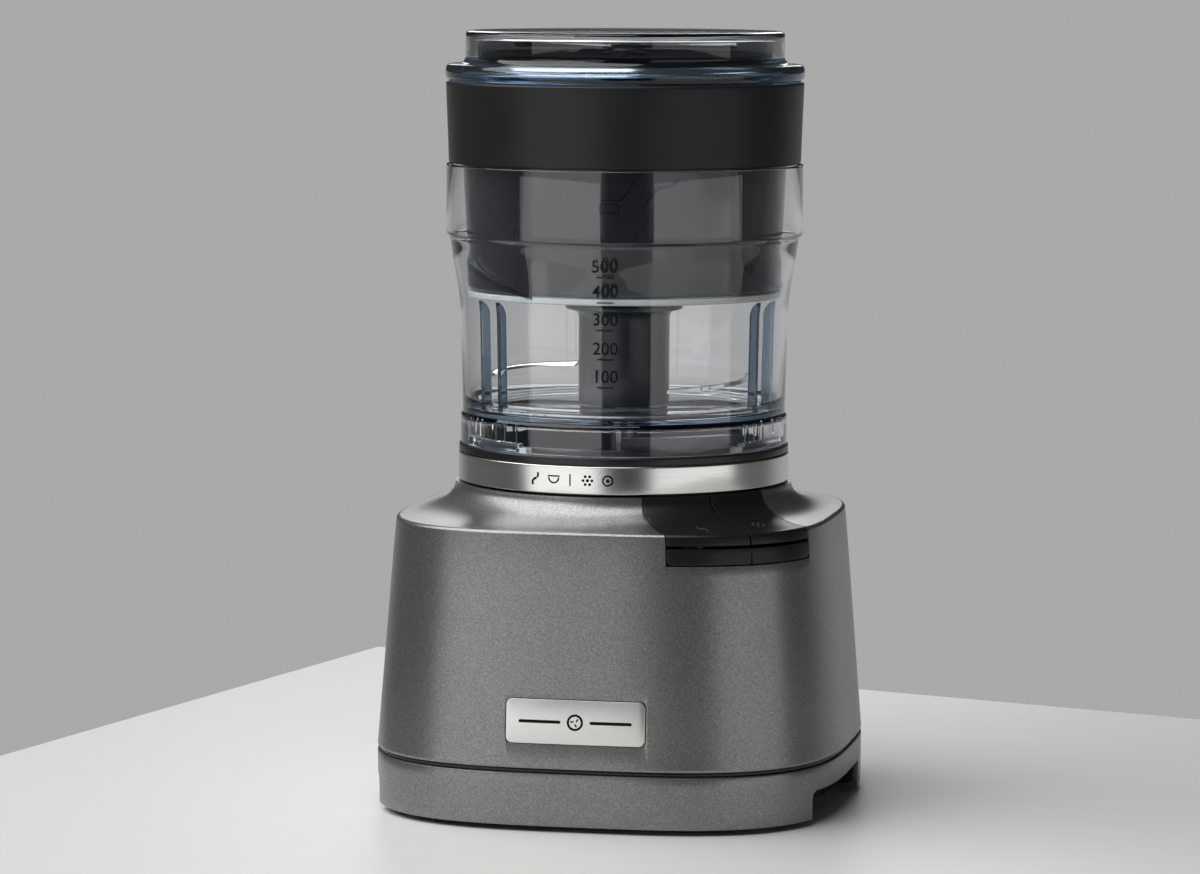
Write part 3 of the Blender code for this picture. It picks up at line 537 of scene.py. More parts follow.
GASKET = moulded("gasket_rubber", (0.008, 0.008, 0.009), 0.34, grain=1300.0, strength=0.15, depth=0.00004)
SILICONE = moulded("pale_silicone", (0.60, 0.60, 0.57), 0.38, grain=1300.0, strength=0.2, tone=0.05)
NYLON = moulded("white_nylon", (0.62, 0.61, 0.57), 0.45, tone=0.06)
BOARD = moulded("board_green", (0.03, 0.16, 0.07), 0.4, tone=0.25, grain=600.0)
ZINC = moulded("zinc_plate", (0.52, 0.52, 0.50), 0.36, metal=1.0, tone=0.12, grain=500.0, strength=0.2)
COPPER = brushed("copper_winding", (0.62, 0.30, 0.16), 0.35, around=2.0, up=2600.0, strength=0.5, tone=0.3)
IRON = brushed("laminated_iron", (0.16, 0.16, 0.17), 0.45, around=1.0, up=3000.0, strength=0.6, tone=0.35)
BRONZE = moulded("sintered_bronze", (0.48, 0.33, 0.16), 0.5, metal=1.0, tone=0.2, grain=1800.0, strength=0.5)
BADGEM = brushed("silver_badge", (0.80, 0.80, 0.78), 0.34, around=60.0, up=5200.0, strength=0.03, tone=0.03,
                 aniso=0.2, linear=True)
INK = moulded("dark_ink", (0.004, 0.004, 0.005), 0.6, grain=3000.0, strength=0.1, spec=0.12)
FAINT = moulded("grey_ink", (0.075, 0.075, 0.08), 0.4, grain=3000.0, strength=0.1)
BOWLM = clear("clear_bowl", (0.985, 0.987, 0.992), 0.0, 14.0, (0.30, 0.56, 0.78))
LIDM = clear("clear_lid", (0.945, 0.965, 0.98), 0.0)
LIDEDGE = clear("clear_lid_flange", (0.15, 0.25, 0.38), 0.10)
RIBM = clear("tinted_rib", (0.20, 0.285, 0.375), 0.0)
SMOKE = clear("smoked_pan", (0.30, 0.305, 0.315), 0.0, 0.0, ior=1.22, lets=(0.35, 0.35, 0.36))
PANFLOOR = moulded("pan_floor_black", (0.006, 0.006, 0.007), 0.75, grain=1500.0, strength=0.05, spec=0.04)


def second_material(ob, material, test):
    """Give the faces whose middle (radius, height) passes the test a second material."""
    ob.data.materials.append(material)
    for poly in ob.data.polygons:
        c = poly.center
        if test(math.hypot(c.x, c.y) * 1000, c.z * 1000):
            poly.material_index = len(ob.data.materials) - 1
    return ob


def dress(ob, material, body, nodes=()):
    ob.data.materials.clear()
    ob.data.materials.append(material)
    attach(ob, body)
    if nodes:
        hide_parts(*nodes)
    return ob


# ================================================================== power base
COUNT = 264
outer = skin_rings(0.0, Z_HOUSING, COUNT)
outer.append((circle_like(outer[0][0], SWEEP_R - 0.35), Z_DECK + 0.0))
outer.append((circle_like(outer[0][0], 22.0), Z_DECK))
inner = list(reversed(skin_rings(WALL, Z_HOUSING, COUNT, rise=6, foot=False)))
inner.insert(0, (circle_like(outer[0][0], 22.0), Z_DECK - WALL))
housing = loft("housing_shell", outer + inner)

CU = np.array((math.sin(math.radians(CONTROL_ANGLE)), -math.cos(math.radians(CONTROL_ANGLE))))
CV = np.array((math.cos(math.radians(CONTROL_ANGLE)), math.sin(math.radians(CONTROL_ANGLE))))


def control_point(u, v):
    return tuple(u * CU + v * CV)


def control_half(u):
    return 25.0 + 3.5 * (u - 58.0) / 24.0


def region(side0, side1, u0, u1, grow=0.0, arc=None, round_corner=0.0):
    def edge(s, u):
        return s * (control_half(u) + grow) if abs(s) == 1 else s
    pts = [control_point(u1, edge(side0, u1)), control_point(u1, edge(side1, u1))]
    if arc is None:
        return pts + [control_point(u0, edge(side1, u0)), control_point(u0, edge(side0, u0))]
    for i in range(25):
        t = i / 24
        v = edge(side1, u0) * (1 - t) + edge(side0, u0) * t
        pts.append(control_point(math.sqrt(arc * arc - v * v), v))
    return pts


def side_prism(name, outline, u0, u1):
    """A cutter that runs along the controls' direction, from an outline in (v, z)."""
    n = len(outline)
    verts = [(*control_point(u0, v), z) for v, z in outline] + [(*control_point(u1, v), z) for v, z in outline]
    faces = [tuple(range(n)), tuple(reversed(range(n, 2 * n)))]
    faces += [(i, n + i, n + (i + 1) % n, (i + 1) % n) for i in range(n)]
    return build(name, verts, faces)


cut = prism("cut_controls", region(-1, 1, 50.0, 112.0, 0.6, arc=58.3), 94.1, 124.0)
boolean(housing, cut)
drop(cut)


def front_patch(name, half, z0, z1, d0, d1, corner=2.2, n=44):
    """A plate that follows the front face, from depth d0 to d1 outside it, with round corners."""
    xs = [-half + corner * (1 - math.cos(math.pi / 2 * k / 6)) for k in range(7)]
    xs += [(-1 + 2 * i / n) * (half - corner) for i in range(1, n)]
    xs += [half - corner * (1 - math.cos(math.pi / 2 * (6 - k) / 6)) for k in range(7)]
    verts, faces = [], []
    for x in xs:
        over = max(abs(x) - (half - corner), 0.0)
        dz = corner - math.sqrt(max(corner * corner - over * over, 0.0))
        lo, hi = z0 + min(dz, (z1 - z0) / 2 - 0.05), z1 - min(dz, (z1 - z0) / 2 - 0.05)
        for z, d in ((lo, d0), (hi, d0), (hi, d1), (lo, d1)):
            verts.append((x, -squircle_x(half_at(z) + d, x), z))
    m = len(xs)
    for k in range(m - 1):
        for i in range(4):
            j = (i + 1) % 4
            faces.append((4 * k + i, 4 * (k + 1) + i, 4 * (k + 1) + j, 4 * k + j))
    faces += [(3, 2, 1, 0), tuple(4 * (m - 1) + i for i in range(4))]
    return build(name, verts, faces)


cut = front_patch("cut_badge", 25.15, 31.05, 47.15, -0.9, 4.0)
boolean(housing, cut)
drop(cut)
resharp(housing, 30)
dress(bevelled(housing, 0.22, 2, 50), PAINT, "base", ["main_housing"])

# skirt: eased at its bottom edge, a fine step at its top
prof = [(0.55, Z_SKIRT), (0.16, Z_SKIRT + 0.16), (0, Z_SKIRT + 0.55), (0, 6.0), (0, 12.0), (0, 17.0), (0, Z_SEAM - 0.5),
        (0.15, Z_SEAM - 0.15), (0.5, Z_SEAM), (WALL, Z_SEAM), (WALL, Z_SKIRT)]
skirt = loft("skirt_shell", [(squircle(SKIRT_HALF + (SEAM_HALF - SKIRT_HALF) * (z - 2) / 18.8 - i, COUNT), z)
                             for i, z in prof])
for sx in (1, -1):
    y0, y1, zt, r = -50.5, 19.0, 12.2, 2.6
    pts = [(y0, -4.0), (y1, -4.0)]
    pts += [(y1 - r + r * math.cos(a), zt - r + r * math.sin(a)) for a in np.linspace(0, math.pi / 2, 7)]
    pts += [(y0 + r - r * math.sin(a), zt - r + r * math.cos(a)) for a in np.linspace(0, math.pi / 2, 7)]
    n = len(pts)
    v = [(sx * 64.0, y, z) for y, z in pts] + [(sx * 104.0, y, z) for y, z in pts]
    f = [tuple(range(n)), tuple(range(n, 2 * n))] + [(i, (i + 1) % n, n + (i + 1) % n, n + i) for i in range(n)]
    c = build("cut_arch", v, f)
    boolean(skirt, c)
    drop(c)
hole = turned("cut_inlet", [(0, 12), (5.3, 12), (5.3, -12), (0, -12)], 48, closed=False)
hole.data.transform(Matrix.Translation((0, 0.084, 0.012)) @ Matrix.Rotation(math.pi / 2, 4, "X"))
boolean(skirt, hole)
drop(hole)
resharp(skirt, 30)
dress(bevelled(skirt, 0.2, 2, 50), PAINT, "base", ["base_skirt"])

strip = loft("joint_strip", [(squircle(SEAM_HALF - i, COUNT), z) for i, z in
                             ((1.0, 21.05), (0.85, 21.3), (0.85, 21.9), (1.0, 22.15), (2.6, 22.15), (2.6, 21.05))])
dress(strip, GASKET, "base", ["seam_gasket"])

# badge plate with eased edges, and a plain motif
plate = front_patch("badge_face", 24.8, 31.4, 46.8, -0.6, 0.35)
plate = bevelled(plate, 0.22, 3, 40)
dress(plate, BADGEM, "base", ["badge_plate"])


def on_front(u, v, w):
    z = 39.1 + v
    return u, -squircle_x(half_at(z) + 0.36 + w, u), z


motif = [bar_loop(-20.2, -5.2, -0.55, 0.55, 0.5), bar_loop(5.2, 20.2, -0.55, 0.55, 0.5),
         arc_loop(0, 0, 2.9, 40), list(reversed(arc_loop(0, 0, 2.1, 40)))]
for k in range(3):
    a = math.tau * k / 3 + 0.5
    motif.append([(0.55 * math.cos(a) - 0.3 * math.sin(a), 0.55 * math.sin(a) + 0.3 * math.cos(a)),
                  (0.55 * math.cos(a) + 0.3 * math.sin(a), 0.55 * math.sin(a) - 0.3 * math.cos(a)),
                  (1.65 * math.cos(a + .2), 1.65 * math.sin(a + .2)),
                  (1.7 * math.cos(a + .55), 1.7 * math.sin(a + .55))])
mark = wrapped_outline("badge_motif", motif, on_front, 0.16)
dress(mark, INK, "base")


# ------------------------------------------------------------------- controls
def control_skin(name, thickness, z0):
    rings = [(squircle(half_at(z0), COUNT), z0)]
    rings += skin_rings(0.0, z0, COUNT, lift=0.3, foot=False)[1:]
    ins = list(reversed(skin_rings(thickness, z0, COUNT, lift=0.3, rise=8, foot=False)))
    ins.insert(0, (circle_like(rings[0][0], SWEEP_R - 2.0), Z_DECK + 0.3))
    return loft(name, rings + ins)


for side, a, b in (("left", -1, -0.35), ("right", 0.35, 1)):
    skin = control_skin("paddle_%s_shell" % side, 2.0, 101.3)
    zone = prism("zone", region(a, b, 40.0, 112.0), 96.0, 125.0)
    boolean(skin, zone, "INTERSECT")
    drop(zone)
    resharp(skin, 30)
    dress(bevelled(skin, 0.45, 3, 50), BLACK, side + "_paddle", ["paddle_" + side])

trim = loft("trim_shell", [(squircle(half_at(z) - i, COUNT), z) for i, z in
                           ((0, 94.6), (0, 96.4), (0, 98.2), (0, 100.1), (2.0, 100.1), (2.0, 94.6))])
# its lower corners are round
hw = control_half(82.0)
r = 2.2
pts = [(-hw + r - r * math.sin(t), 94.6 + r - r * math.cos(t)) for t in np.linspace(0, math.pi / 2, 7)]
pts += [(-hw - 1.5, 104.0), (hw + 1.5, 104.0)]
pts += [(hw - r + r * math.cos(t), 94.6 + r - r * math.sin(t)) for t in np.linspace(0, math.pi / 2, 7)]
zone = prism("zone", region(-1, 1, 40.0, 112.0), 90.0, 104.0)
boolean(trim, zone, "INTERSECT")
drop(zone)
zone = side_prism("zone", pts, 40.0, 112.0)
boolean(trim, zone, "INTERSECT")
drop(zone)
gx, gy = control_point(91.9, 0.0)
cut = box("groove", (6.0, 0.7, 20.0), (gx, gy, 97.0), CONTROL_ANGLE - 90.0)
boolean(trim, cut)
drop(cut)
resharp(trim, 30)
dress(bevelled(trim, 0.3, 3, 50), BLACK, "base", ["control_trim"])


def sweep_point(u, v, w):
    """A point on the concave sweep above control coordinates (u, v), w outside it."""
    x, y = control_point(u, v)
    d = math.hypot(x, y)
    e = 1.5
    half = half_at(Z_SHELF) - e
    ca, sa = abs(x) / d, abs(y) / d
    r_out = half / (ca ** SQ + sa ** SQ) ** (1 / SQ)
    s = min(max((r_out - d) / (r_out - SWEEP_R), 0.0), 1.0)
    z = Z_SHELF + (Z_DECK - Z_SHELF) * (1 - math.sqrt(max(1 - s * s, 0)))
    return x, y, z + w


def paddle_mark(name, loops, side):
    def place(u, v, w):
        return sweep_point(75.0 + v, (-11.5 if side == "left" else 11.5) + u, 0.05 + w)
    ob = wrapped_outline(name, loops, place, 0.12)
    dress(ob, FAINT, side + "_paddle")


blades_icon = [list(reversed(arc_loop(0, 0, 0.7, 16)))]
for k in range(2):
    a = math.pi * k + 0.5
    arc = [(math.cos(a + t * 0.9) * (0.7 + 2.2 * t), math.sin(a + t * 0.9) * (0.7 + 2.2 * t)) for t in np.linspace(0, 1, 9)]
    blades_icon.append(stroke(arc, 0.45))
burr_icon = [arc_loop(2.1 * math.cos(math.tau * k / 6), 2.1 * math.sin(math.tau * k / 6), 0.55, 12) for k in range(6)]
burr_icon.append(arc_loop(0, 0, 0.6, 14))
paddle_mark("left_paddle_mark", [arc_loop(0, 0, 0.7, 16)] + blades_icon[1:], "left")
paddle_mark("right_paddle_mark", burr_icon, "right")

# ------------------------------------------------------------- collar and deck
dress(turned("collar_ring", [(60.0, 126.4, 0.5), (60.0, 116.5, 0.4), (57.2, 116.5), (57.2, 126.4)], 240),
      STEEL, "base", ["steel_collar"])


def on_collar(u, v, w):
    a = math.radians(-90.0 - 6.9) + u / 60.0
    rr = 60.03 + w
    return rr * math.cos(a), rr * math.sin(a), 121.5 + v


marks = []


def shifted(loops, dx, s=1.0):
    return [[(x * s + dx, y * s) for x, y in lp] for lp in loops]


chop = [arc_loop(0, 0, 0.5, 14)]
for k in range(2):
    a = math.pi * k + 0.35
    arc = [(math.cos(a + t * 0.8) * (0.5 + 1.9 * t), math.sin(a + t * 0.8) * (0.5 + 1.9 * t)) for t in np.linspace(0, 1, 9)]
    chop.append(stroke(arc, 0.75))
bowl_icon = [stroke([(2.4 * math.cos(t), 0.9 + 2.4 * math.sin(t)) for t in np.linspace(math.pi, math.tau, 15)], 0.7),
             bar_loop(-2.9, 2.9, 1.2, 1.85)]
grain = [arc_loop(1.6 * math.cos(math.tau * k / 6), 1.6 * math.sin(math.tau * k / 6), 0.52, 10) for k in range(6)]
grain.append(arc_loop(0, 0, 0.6, 12))
burr = [arc_loop(0, 0, 2.1, 30), list(reversed(arc_loop(0, 0, 1.5, 30))), arc_loop(0, 0, 0.65, 12)]
marks += shifted(chop, -13.6) + shifted(bowl_icon, -6.2, 0.8) + [bar_loop(-0.24, 0.24, -2.1, 2.1)]
marks += shifted(grain, 6.4) + shifted(burr, 13.6, 0.95)
dress(wrapped_outline("collar_marks", marks, on_collar, 0.08), INK, "base")

seat = turned("seat_deck", [(52.0, 131.8, 0.5), (52.0, 120.0, 0.4), (56.8, 120.0, 0.3), (56.8, 115.9), (10.5, 115.9),
                            (10.5, 122.0, 0.3), (14.0, 122.0, 0.4), (14.0, 119.4, 0.5), (49.6, 119.4, 0.4),
                            (49.6, 131.8, 0.4)], 192)


def sector(r0, r1, a0, a1, n=16):
    pts = [(r1 * math.cos(math.radians(a)), r1 * math.sin(math.radians(a))) for a in np.linspace(a0, a1, n + 1)]
    pts += [(r0 * math.cos(math.radians(a)), r0 * math.sin(math.radians(a))) for a in np.linspace(a1, a0, n + 1)]
    return pts


HOOKS = (63.5, 183.5, 303.5)
LUGS = [h + 41.5 for h in HOOKS]
for a in HOOKS:
    stem = prism("stem", sector(50.1, 51.5, a - 21.5, a + 21.5), 130.4, 134.0)
    hook = prism("hook", sector(49.9, 55.4, a - 22.5, a + 22.5), 133.4, 136.2)
    boolean(seat, stem, "UNION")
    boolean(seat, hook, "UNION")
    drop(stem, hook)
hole = turned("hole", [(0, 130), (3.0, 130), (3.0, 100), (0, 100)], 32, closed=False)
hole.data.transform(Matrix.Translation((54.3 * MM * math.cos(math.radians(135)), 54.3 * MM * math.sin(math.radians(135)), 0)))
boolean(seat, hole)
drop(hole)
dress(resharp(seat), SEAT, "base", ["bowl_seat"])
dress(turned("seat_seal", [(59.8, 129.6, 0.8), (59.8, 126.7, 0.4), (56.9, 126.7), (56.9, 129.6, 0.4)], 240),
      GASKET, "base", ["collar_seal"])
ring = turned("lock_ring_shell", [(56.5, 129.4, 0.3), (56.5, 123.2, 0.3), (52.5, 123.2), (52.5, 129.4, 0.3)], 192)
for a in LUGS:
    for s in (-1, 1):
        mid = a + s * 17.6
        tooth = prism("tooth", sector(53.2, 56.1, mid - 1.6, mid + 1.6, 4), 128.0, 131.6)
        boolean(ring, tooth, "UNION")
        drop(tooth)
dress(resharp(ring), NYLON, "lock_ring", ["interlock_ring"])

# ======================================================================== bowl
BOWL_OUT = [(64.6, 230.5, 0.5), (64.6, 205.4, 0.5), (63.3, 204.0, 1.0), (62.6, 199.0, 4), (61.3, 192.0, 3.2), (60.2, 185.5, 3),
            (59.4, 178.0, 3), (59.1, 168.0, 4), (58.6, 140.9, 0.4), (59.3, 139.9, 0.5), (59.3, 129.9, 0.3)]
BOWL_IN = [(56.8, 129.9, 0.2), (56.8, 138.9, 0.6), (6.6, 138.9, 0.6), (6.6, 168.0), (9.0, 168.0, 0.6), (9.0, 142.0, 1.2),
           (53.4, 142.0, 3.0), (56.2, 145.2, 3.0), (56.8, 178.0, 3), (57.9, 186.0, 3), (60.4, 199.0, 3), (62.3, 205.4, 2),
           (62.3, 230.5, 0.4)]
bowl = turned("bowl_wall", BOWL_OUT + BOWL_IN, 240, segs=5)
for i, a in enumerate(LUGS):
    lug = prism("lug", sector(53.2, 57.6, a - 15, a + 15, 24), 130.2, 133.0, 0.35)
    boolean(bowl, lug, "UNION")
    drop(lug)
    # upright ribs that stiffen the lug
    for d in (-14.0, -8.5, -5.0, 3.0, 8.0, 14.0):
        rib = prism("rib", sector(55.7, 57.6, a + d - 0.55, a + d + 0.55, 2), 132.0, 139.6)
        boolean(bowl, rib, "UNION")
        drop(rib)
dress(resharp(bowl, 30), BOWLM, "bowl", ["chopper_bowl"])


def bowl_radius(z):
    pts = sorted((p[1], p[0]) for p in BOWL_OUT)
    return float(np.interp(z, [p[0] for p in pts], [p[1] for p in pts]))


def bowl_inner(z):
    pts = sorted([(145.2, 56.2), (178.0, 56.8), (186.0, 57.9), (199.0, 60.4), (205.4, 62.3), (230.5, 62.3)])
    return float(np.interp(z, [p[0] for p in pts], [p[1] for p in pts]))


SCALE_AZ = 5.0         # the marks' place, degrees to the right of the front


def on_bowl(z_mid, lift=0.04):
    def place(u, v, w):
        z = z_mid + v
        a = math.radians(-90.0 + SCALE_AZ) + u / 60.0
        rr = bowl_radius(z) + lift + w
        return rr * math.cos(a), rr * math.sin(a), z
    return place


pieces = []
for value, z in ((500, 193.9), (400, 184.9), (300, 175.1), (200, 164.8), (100, 154.9)):
    cu = bpy.data.curves.new("n", "FONT")
    cu.body, cu.size, cu.align_x, cu.extrude = str(value), 6.2, "CENTER", 0.05
    cu.offset = 0.02
    pieces.append(lay(new_object("n", cu), "n%d" % value, on_bowl(z + 1.2)))
    pieces.append(wrapped_outline("l%d" % value, [bar_loop(-3.0, 3.0, -0.22, 0.22)], on_bowl(z - 0.6), 0.1))
dress(joined("bowl_scale", pieces), INK, "bowl")

# upright ribs inside the bowl, and a sloping ramp above each pair in the gap outside the drum
ribs = []
for az in (-44.3, 71.8, 193.0):
    a = az - 90.0
    for d in (-5.4, 5.4):
        n = 28
        zs = np.linspace(143.4, 182.8, n)
        v, f = [], []
        for z in zs:
            top = (z - 177.0) / 5.8
            r0 = bowl_inner(z) - 0.06
            dep = 3.0 if top < 0 else 3.0 * math.sqrt(max(1 - top * top, 0.02))
            for rr, da in ((r0, -0.95), (r0 - dep * 0.85, -0.72), (r0 - dep, -0.3), (r0 - dep, 0.3), (r0 - dep * 0.85, 0.72),
                           (r0, 0.95)):
                t = math.radians(a + d + da)
                v.append((rr * math.cos(t), rr * math.sin(t), z))
        for k in range(n - 1):
            for i in range(6):
                j = (i + 1) % 6
                f.append((6 * k + i, 6 * k + j, 6 * (k + 1) + j, 6 * (k + 1) + i))
        f += [tuple(range(6)), tuple(6 * (n - 1) + i for i in reversed(range(6)))]
        ribs.append(build("rib", v, f, 40))
    n, v, f = 30, [], []
    for k in range(n + 1):
        t = k / n
        c = math.radians(a - 11.0 + 33.0 * t)
        z1 = 197.0 - 11.0 * t ** 0.8
        z0 = z1 - (3.2 - 1.7 * t)
        for z, g in ((z0, 57.55), (z0, None), (z1, None), (z1, 57.55)):
            rr = g if g else bowl_inner(z) - 0.06
            v.append((rr * math.cos(c), rr * math.sin(c), z))
    for k in range(n):
        for i in range(4):
            j = (i + 1) % 4
            f.append((4 * k + i, 4 * k + j, 4 * (k + 1) + j, 4 * (k + 1) + i))
    f += [(0, 1, 2, 3), tuple(4 * n + i for i in (3, 2, 1, 0))]
    ribs.append(build("ramp", v, f, 40))
dress(joined("bowl_ribs", ribs), RIBM, "bowl")


def on_band(u, v, w):
    z = 218.0 + v
    a = math.radians(-90.0 + 7.5) + u / 64.6
    rr = 64.63 + w
    return rr * math.cos(a), rr * math.sin(a), z


# faint raised lines on the upper band of the bowl that show the way to turn the head
track = [stroke([(-4.0, 2.5), (2.8, 2.5), (4.2, 3.6), (8.0, 9.6)], 0.35),
         bar_loop(-4.6, 2.6, -2.2, 1.4, 1.2), list(reversed(bar_loop(-4.25, 2.25, -1.85, 1.05, 1.0))),
         stroke([(10.5, 1.0), (12.0, 1.6), (16.0, 6.6), (19.6, 7.0), (25.5, 9.9)], 0.35)]
dress(wrapped_outline("bowl_track", track, on_band, 0.14), RIBM, "bowl")

# ======================================================================= blade
HUB_Z1 = 180.2
dress(turned("hub_shell", [(0, HUB_Z1), (20.0, HUB_Z1, 1.0), (21.4, HUB_Z1 - 1.0, 0.6), (21.4, 177.6, 0.5), (17.4, 176.6, 1.2),
                           (16.5, 175.0, 0.8), (16.5, 142.4, 0.5), (9.6, 142.4), (9.6, 168.6), (5.4, 168.6), (5.4, 174.4),
                           (0, 174.4)], 128, closed=False), HUBM, "chopping_blade", ["blade_hub"])


def chop_blade(name, z_root, z_tip, start, sweep, node):
    """A sickle blade: flat spine, hollow-ground leading edge that thins to a fine line."""
    n, verts, faces = 40, [], []
    cols = 7
    for i in range(n + 1):
        t = i / n
        r = 17.2 + (52.0 - 17.2) * t
        a = math.radians(start + sweep * t * t)
        half = (13.0 + (4.2 - 13.0) * t) / 2
        z = z_root + (z_tip - z_root) * t
        tx, ty = -math.sin(a), math.cos(a)
        for top in (1, -1):
            for k in range(cols):
                w = -1 + 2 * k / (cols - 1)
                th = 0.7 if w < 0.1 else 0.7 * (1 - (w - 0.1) / 0.9) + 0.04
                off = 0.0 if w < 0.1 else -0.25 * (w - 0.1)
                verts.append((r * math.cos(a) + w * half * tx, r * math.sin(a) + w * half * ty, z + top * th + off))
    row = 2 * cols
    for i in range(n):
        b = i * row
        for k in range(cols - 1):
            faces.append((b + k, b + k + 1, b + row + k + 1, b + row + k))
            faces.append((b + cols + k, b + row + cols + k, b + row + cols + k + 1, b + cols + k + 1))
        faces.append((b, b + row, b + row + cols, b + cols))
        faces.append((b + cols - 1, b + 2 * cols - 1, b + row + 2 * cols - 1, b + row + cols - 1))
    for b in (0, n * row):
        faces.append(tuple(b + k for k in range(cols)) + tuple(b + cols + k for k in reversed(range(cols))))
    ob = build(name, verts, faces, 25)
    dress(ob, BLADE, "chopping_blade", [node])


chop_blade("upper_blade_fine", 157.0, 155.6, 180.0, 38.0, "upper_blade")
chop_blade("lower_blade_fine", 147.4, 150.8, 0.0, 38.0, "lower_blade")

# =============================================================== grinding head
dress(turned("drum_shell", [(60.9, 257.8, 0.3), (60.9, 255.6, 0.5), (59.4, 254.0, 0.8), (59.2, 231.0, 2), (57.2, 206.0, 3),
                            (57.0, 186.6, 0.5), (56.0, 185.7, 0.4), (3.5, 185.7), (3.5, 190.6), (8.0, 190.6), (8.0, 188.6),
                            (54.8, 188.6, 1.0), (55.0, 206.0, 3), (57.0, 231.0, 3), (57.2, 257.8, 0.3)], 240),
      DARK, "grinding_head", ["grinding_drum"])
dress(turned("drum_ring", [(57.1, 185.4, 0.4), (57.1, 183.5, 0.5), (56.6, 183.1, 0.4), (53.6, 183.1), (53.6, 185.4)], 240),
      SILICONE, "grinding_head", ["drum_seal"])
dress(turned("grip_band", [(64.2, 260.2, 0.35), (64.7, 259.6, 0.4), (64.5, 254.0, 3), (63.9, 239.0, 4), (63.7, 231.5, 0.6),
                           (63.3, 230.9, 0.3), (61.4, 230.9), (61.4, 258.1), (58.0, 258.1), (58.0, 260.2)], 240),
      BAND, "grip_collar", ["collar_band"])
pan = dress(turned("pan_shell", [(52.9, 275.4, 0.5), (53.6, 261.9, 0.5), (57.6, 261.0, 0.3), (57.6, 258.1), (50.8, 258.1),
                           (50.8, 266.6, 0.5), (7.6, 266.6), (7.6, 269.4, 0.4), (51.9, 269.4, 1.2), (51.3, 275.4, 0.4)], 240),
      SMOKE, "grinding_head", ["grinding_pan"])
second_material(pan, PANFLOOR, lambda r, z: r < 51.6 and 266.3 < z < 270.0)
dress(turned("spindle_shell", [(0, 271.7), (6.4, 271.7, 0.3), (6.4, 270.4, 0.2), (3.1, 270.4), (3.1, 185.2), (8.0, 184.6, 0.3),
                               (8.0, 180.6, 0.4), (0, 180.6)], 64, closed=False), SPINDLE, "grinding_blade",
      ["mill_spindle"])


def mill_blade():
    n, verts, faces, cols = 60, [], [], 7
    turn = math.radians(10.0)
    for i in range(n + 1):
        x = -40.0 + 80.0 * i / n
        t = max((abs(x) - 9.0) / 31.0, 0.0)
        half = (13.0 - 2.0 * t) / 2
        for top in (1, -1):
            for k in range(cols):
                w = -1 + 2 * k / (cols - 1)
                y = w * half
                lead = w * (1 if x >= 0 else -1)
                th = 0.6 if lead < 0.35 else 0.6 * (1 - (lead - 0.35) / 0.65) + 0.05
                z = 272.6 + 0.7 * t + math.copysign(0.16 * t, x) * y + top * th
                verts.append((x * math.cos(turn) - y * math.sin(turn), x * math.sin(turn) + y * math.cos(turn), z))
    row = 2 * cols
    for i in range(n):
        b = i * row
        for k in range(cols - 1):
            faces.append((b + k, b + k + 1, b + row + k + 1, b + row + k))
            faces.append((b + cols + k, b + row + cols + k, b + row + cols + k + 1, b + cols + k + 1))
        faces.append((b, b + row, b + row + cols, b + cols))
        faces.append((b + cols - 1, b + 2 * cols - 1, b + row + 2 * cols - 1, b + row + cols - 1))
    for b in (0, n * row):
        faces.append(tuple(b + k for k in range(cols)) + tuple(b + cols + k for k in reversed(range(cols))))
    ob = build("mill_blade_fine", verts, faces, 25)
    dress(ob, BLADE, "grinding_blade", ["mill_blade"])


mill_blade()
nut = turned("mill_nut_fine", [(0, 275.3), (4.4, 275.3, 0.4), (5.6, 274.7, 0.2), (5.6, 273.5), (0, 273.5)], 6, closed=False, sharp=20)
dress(nut, SPINDLE, "grinding_blade", ["mill_nut"])

# ========================================================================= lid
T = LID_TOP
lid = dress(turned("lid_shell", [(0, T), (55.9, T, 0.4), (57.4, T - 0.5, 0.5), (57.7, T - 1.8, 0.5), (57.7, 268.4, 1.0), (58.8, 266.8, 0.8),
                           (64.2, 266.45, 1.7), (65.0, 264.4, 1.6), (65.0, 262.0, 1.2), (64.0, 260.6, 0.7), (61.9, 260.6, 0.6),
                           (61.9, 263.4, 1.0), (58.4, 263.4, 1.2), (55.2, 265.4, 1.2), (55.2, T - 2.4, 0.8), (0, T - 2.4)],
             240, closed=False, segs=7), LIDM, "lid", ["clear_lid"])
second_material(lid, LIDEDGE, lambda r, z: z < 268.2)

# ================================================== pieces that stay as in the frame
CARRY = {
    "base_plate": BLACK, "cable_gland": RUBBER, "control_board": BOARD, "switch_bracket": ZINC, "motor_can": ZINC,
    "motor_bracket": ZINC, "stator": IRON, "armature": COPPER, "commutator": COPPER, "cooling_fan": NYLON,
    "rotor_shaft": SPINDLE, "drive_coupling": SPINDLE, "upper_bearing": BRONZE, "lower_bearing": BRONZE,
    "mill_bearing": SEAT, "brush_left": BRONZE, "brush_right": BRONZE, "paddle_spring_left": SPINDLE,
    "paddle_spring_right": SPINDLE, "interlock_spring": SPINDLE, "interlock_pin": NYLON, "interlock_switch": SEAT,
    "micro_switch_left": SEAT, "micro_switch_right": SEAT, "shaft_seal": GASKET,
}
for n in NODES:
    if n.startswith("base_screw") or n.startswith("foot_") or n.startswith("rubber_mount"):
        CARRY[n] = ZINC if n.startswith("base_screw") else RUBBER
for n, m in CARRY.items():
    NODES[n].data.materials.clear()
    NODES[n].data.materials.append(m)

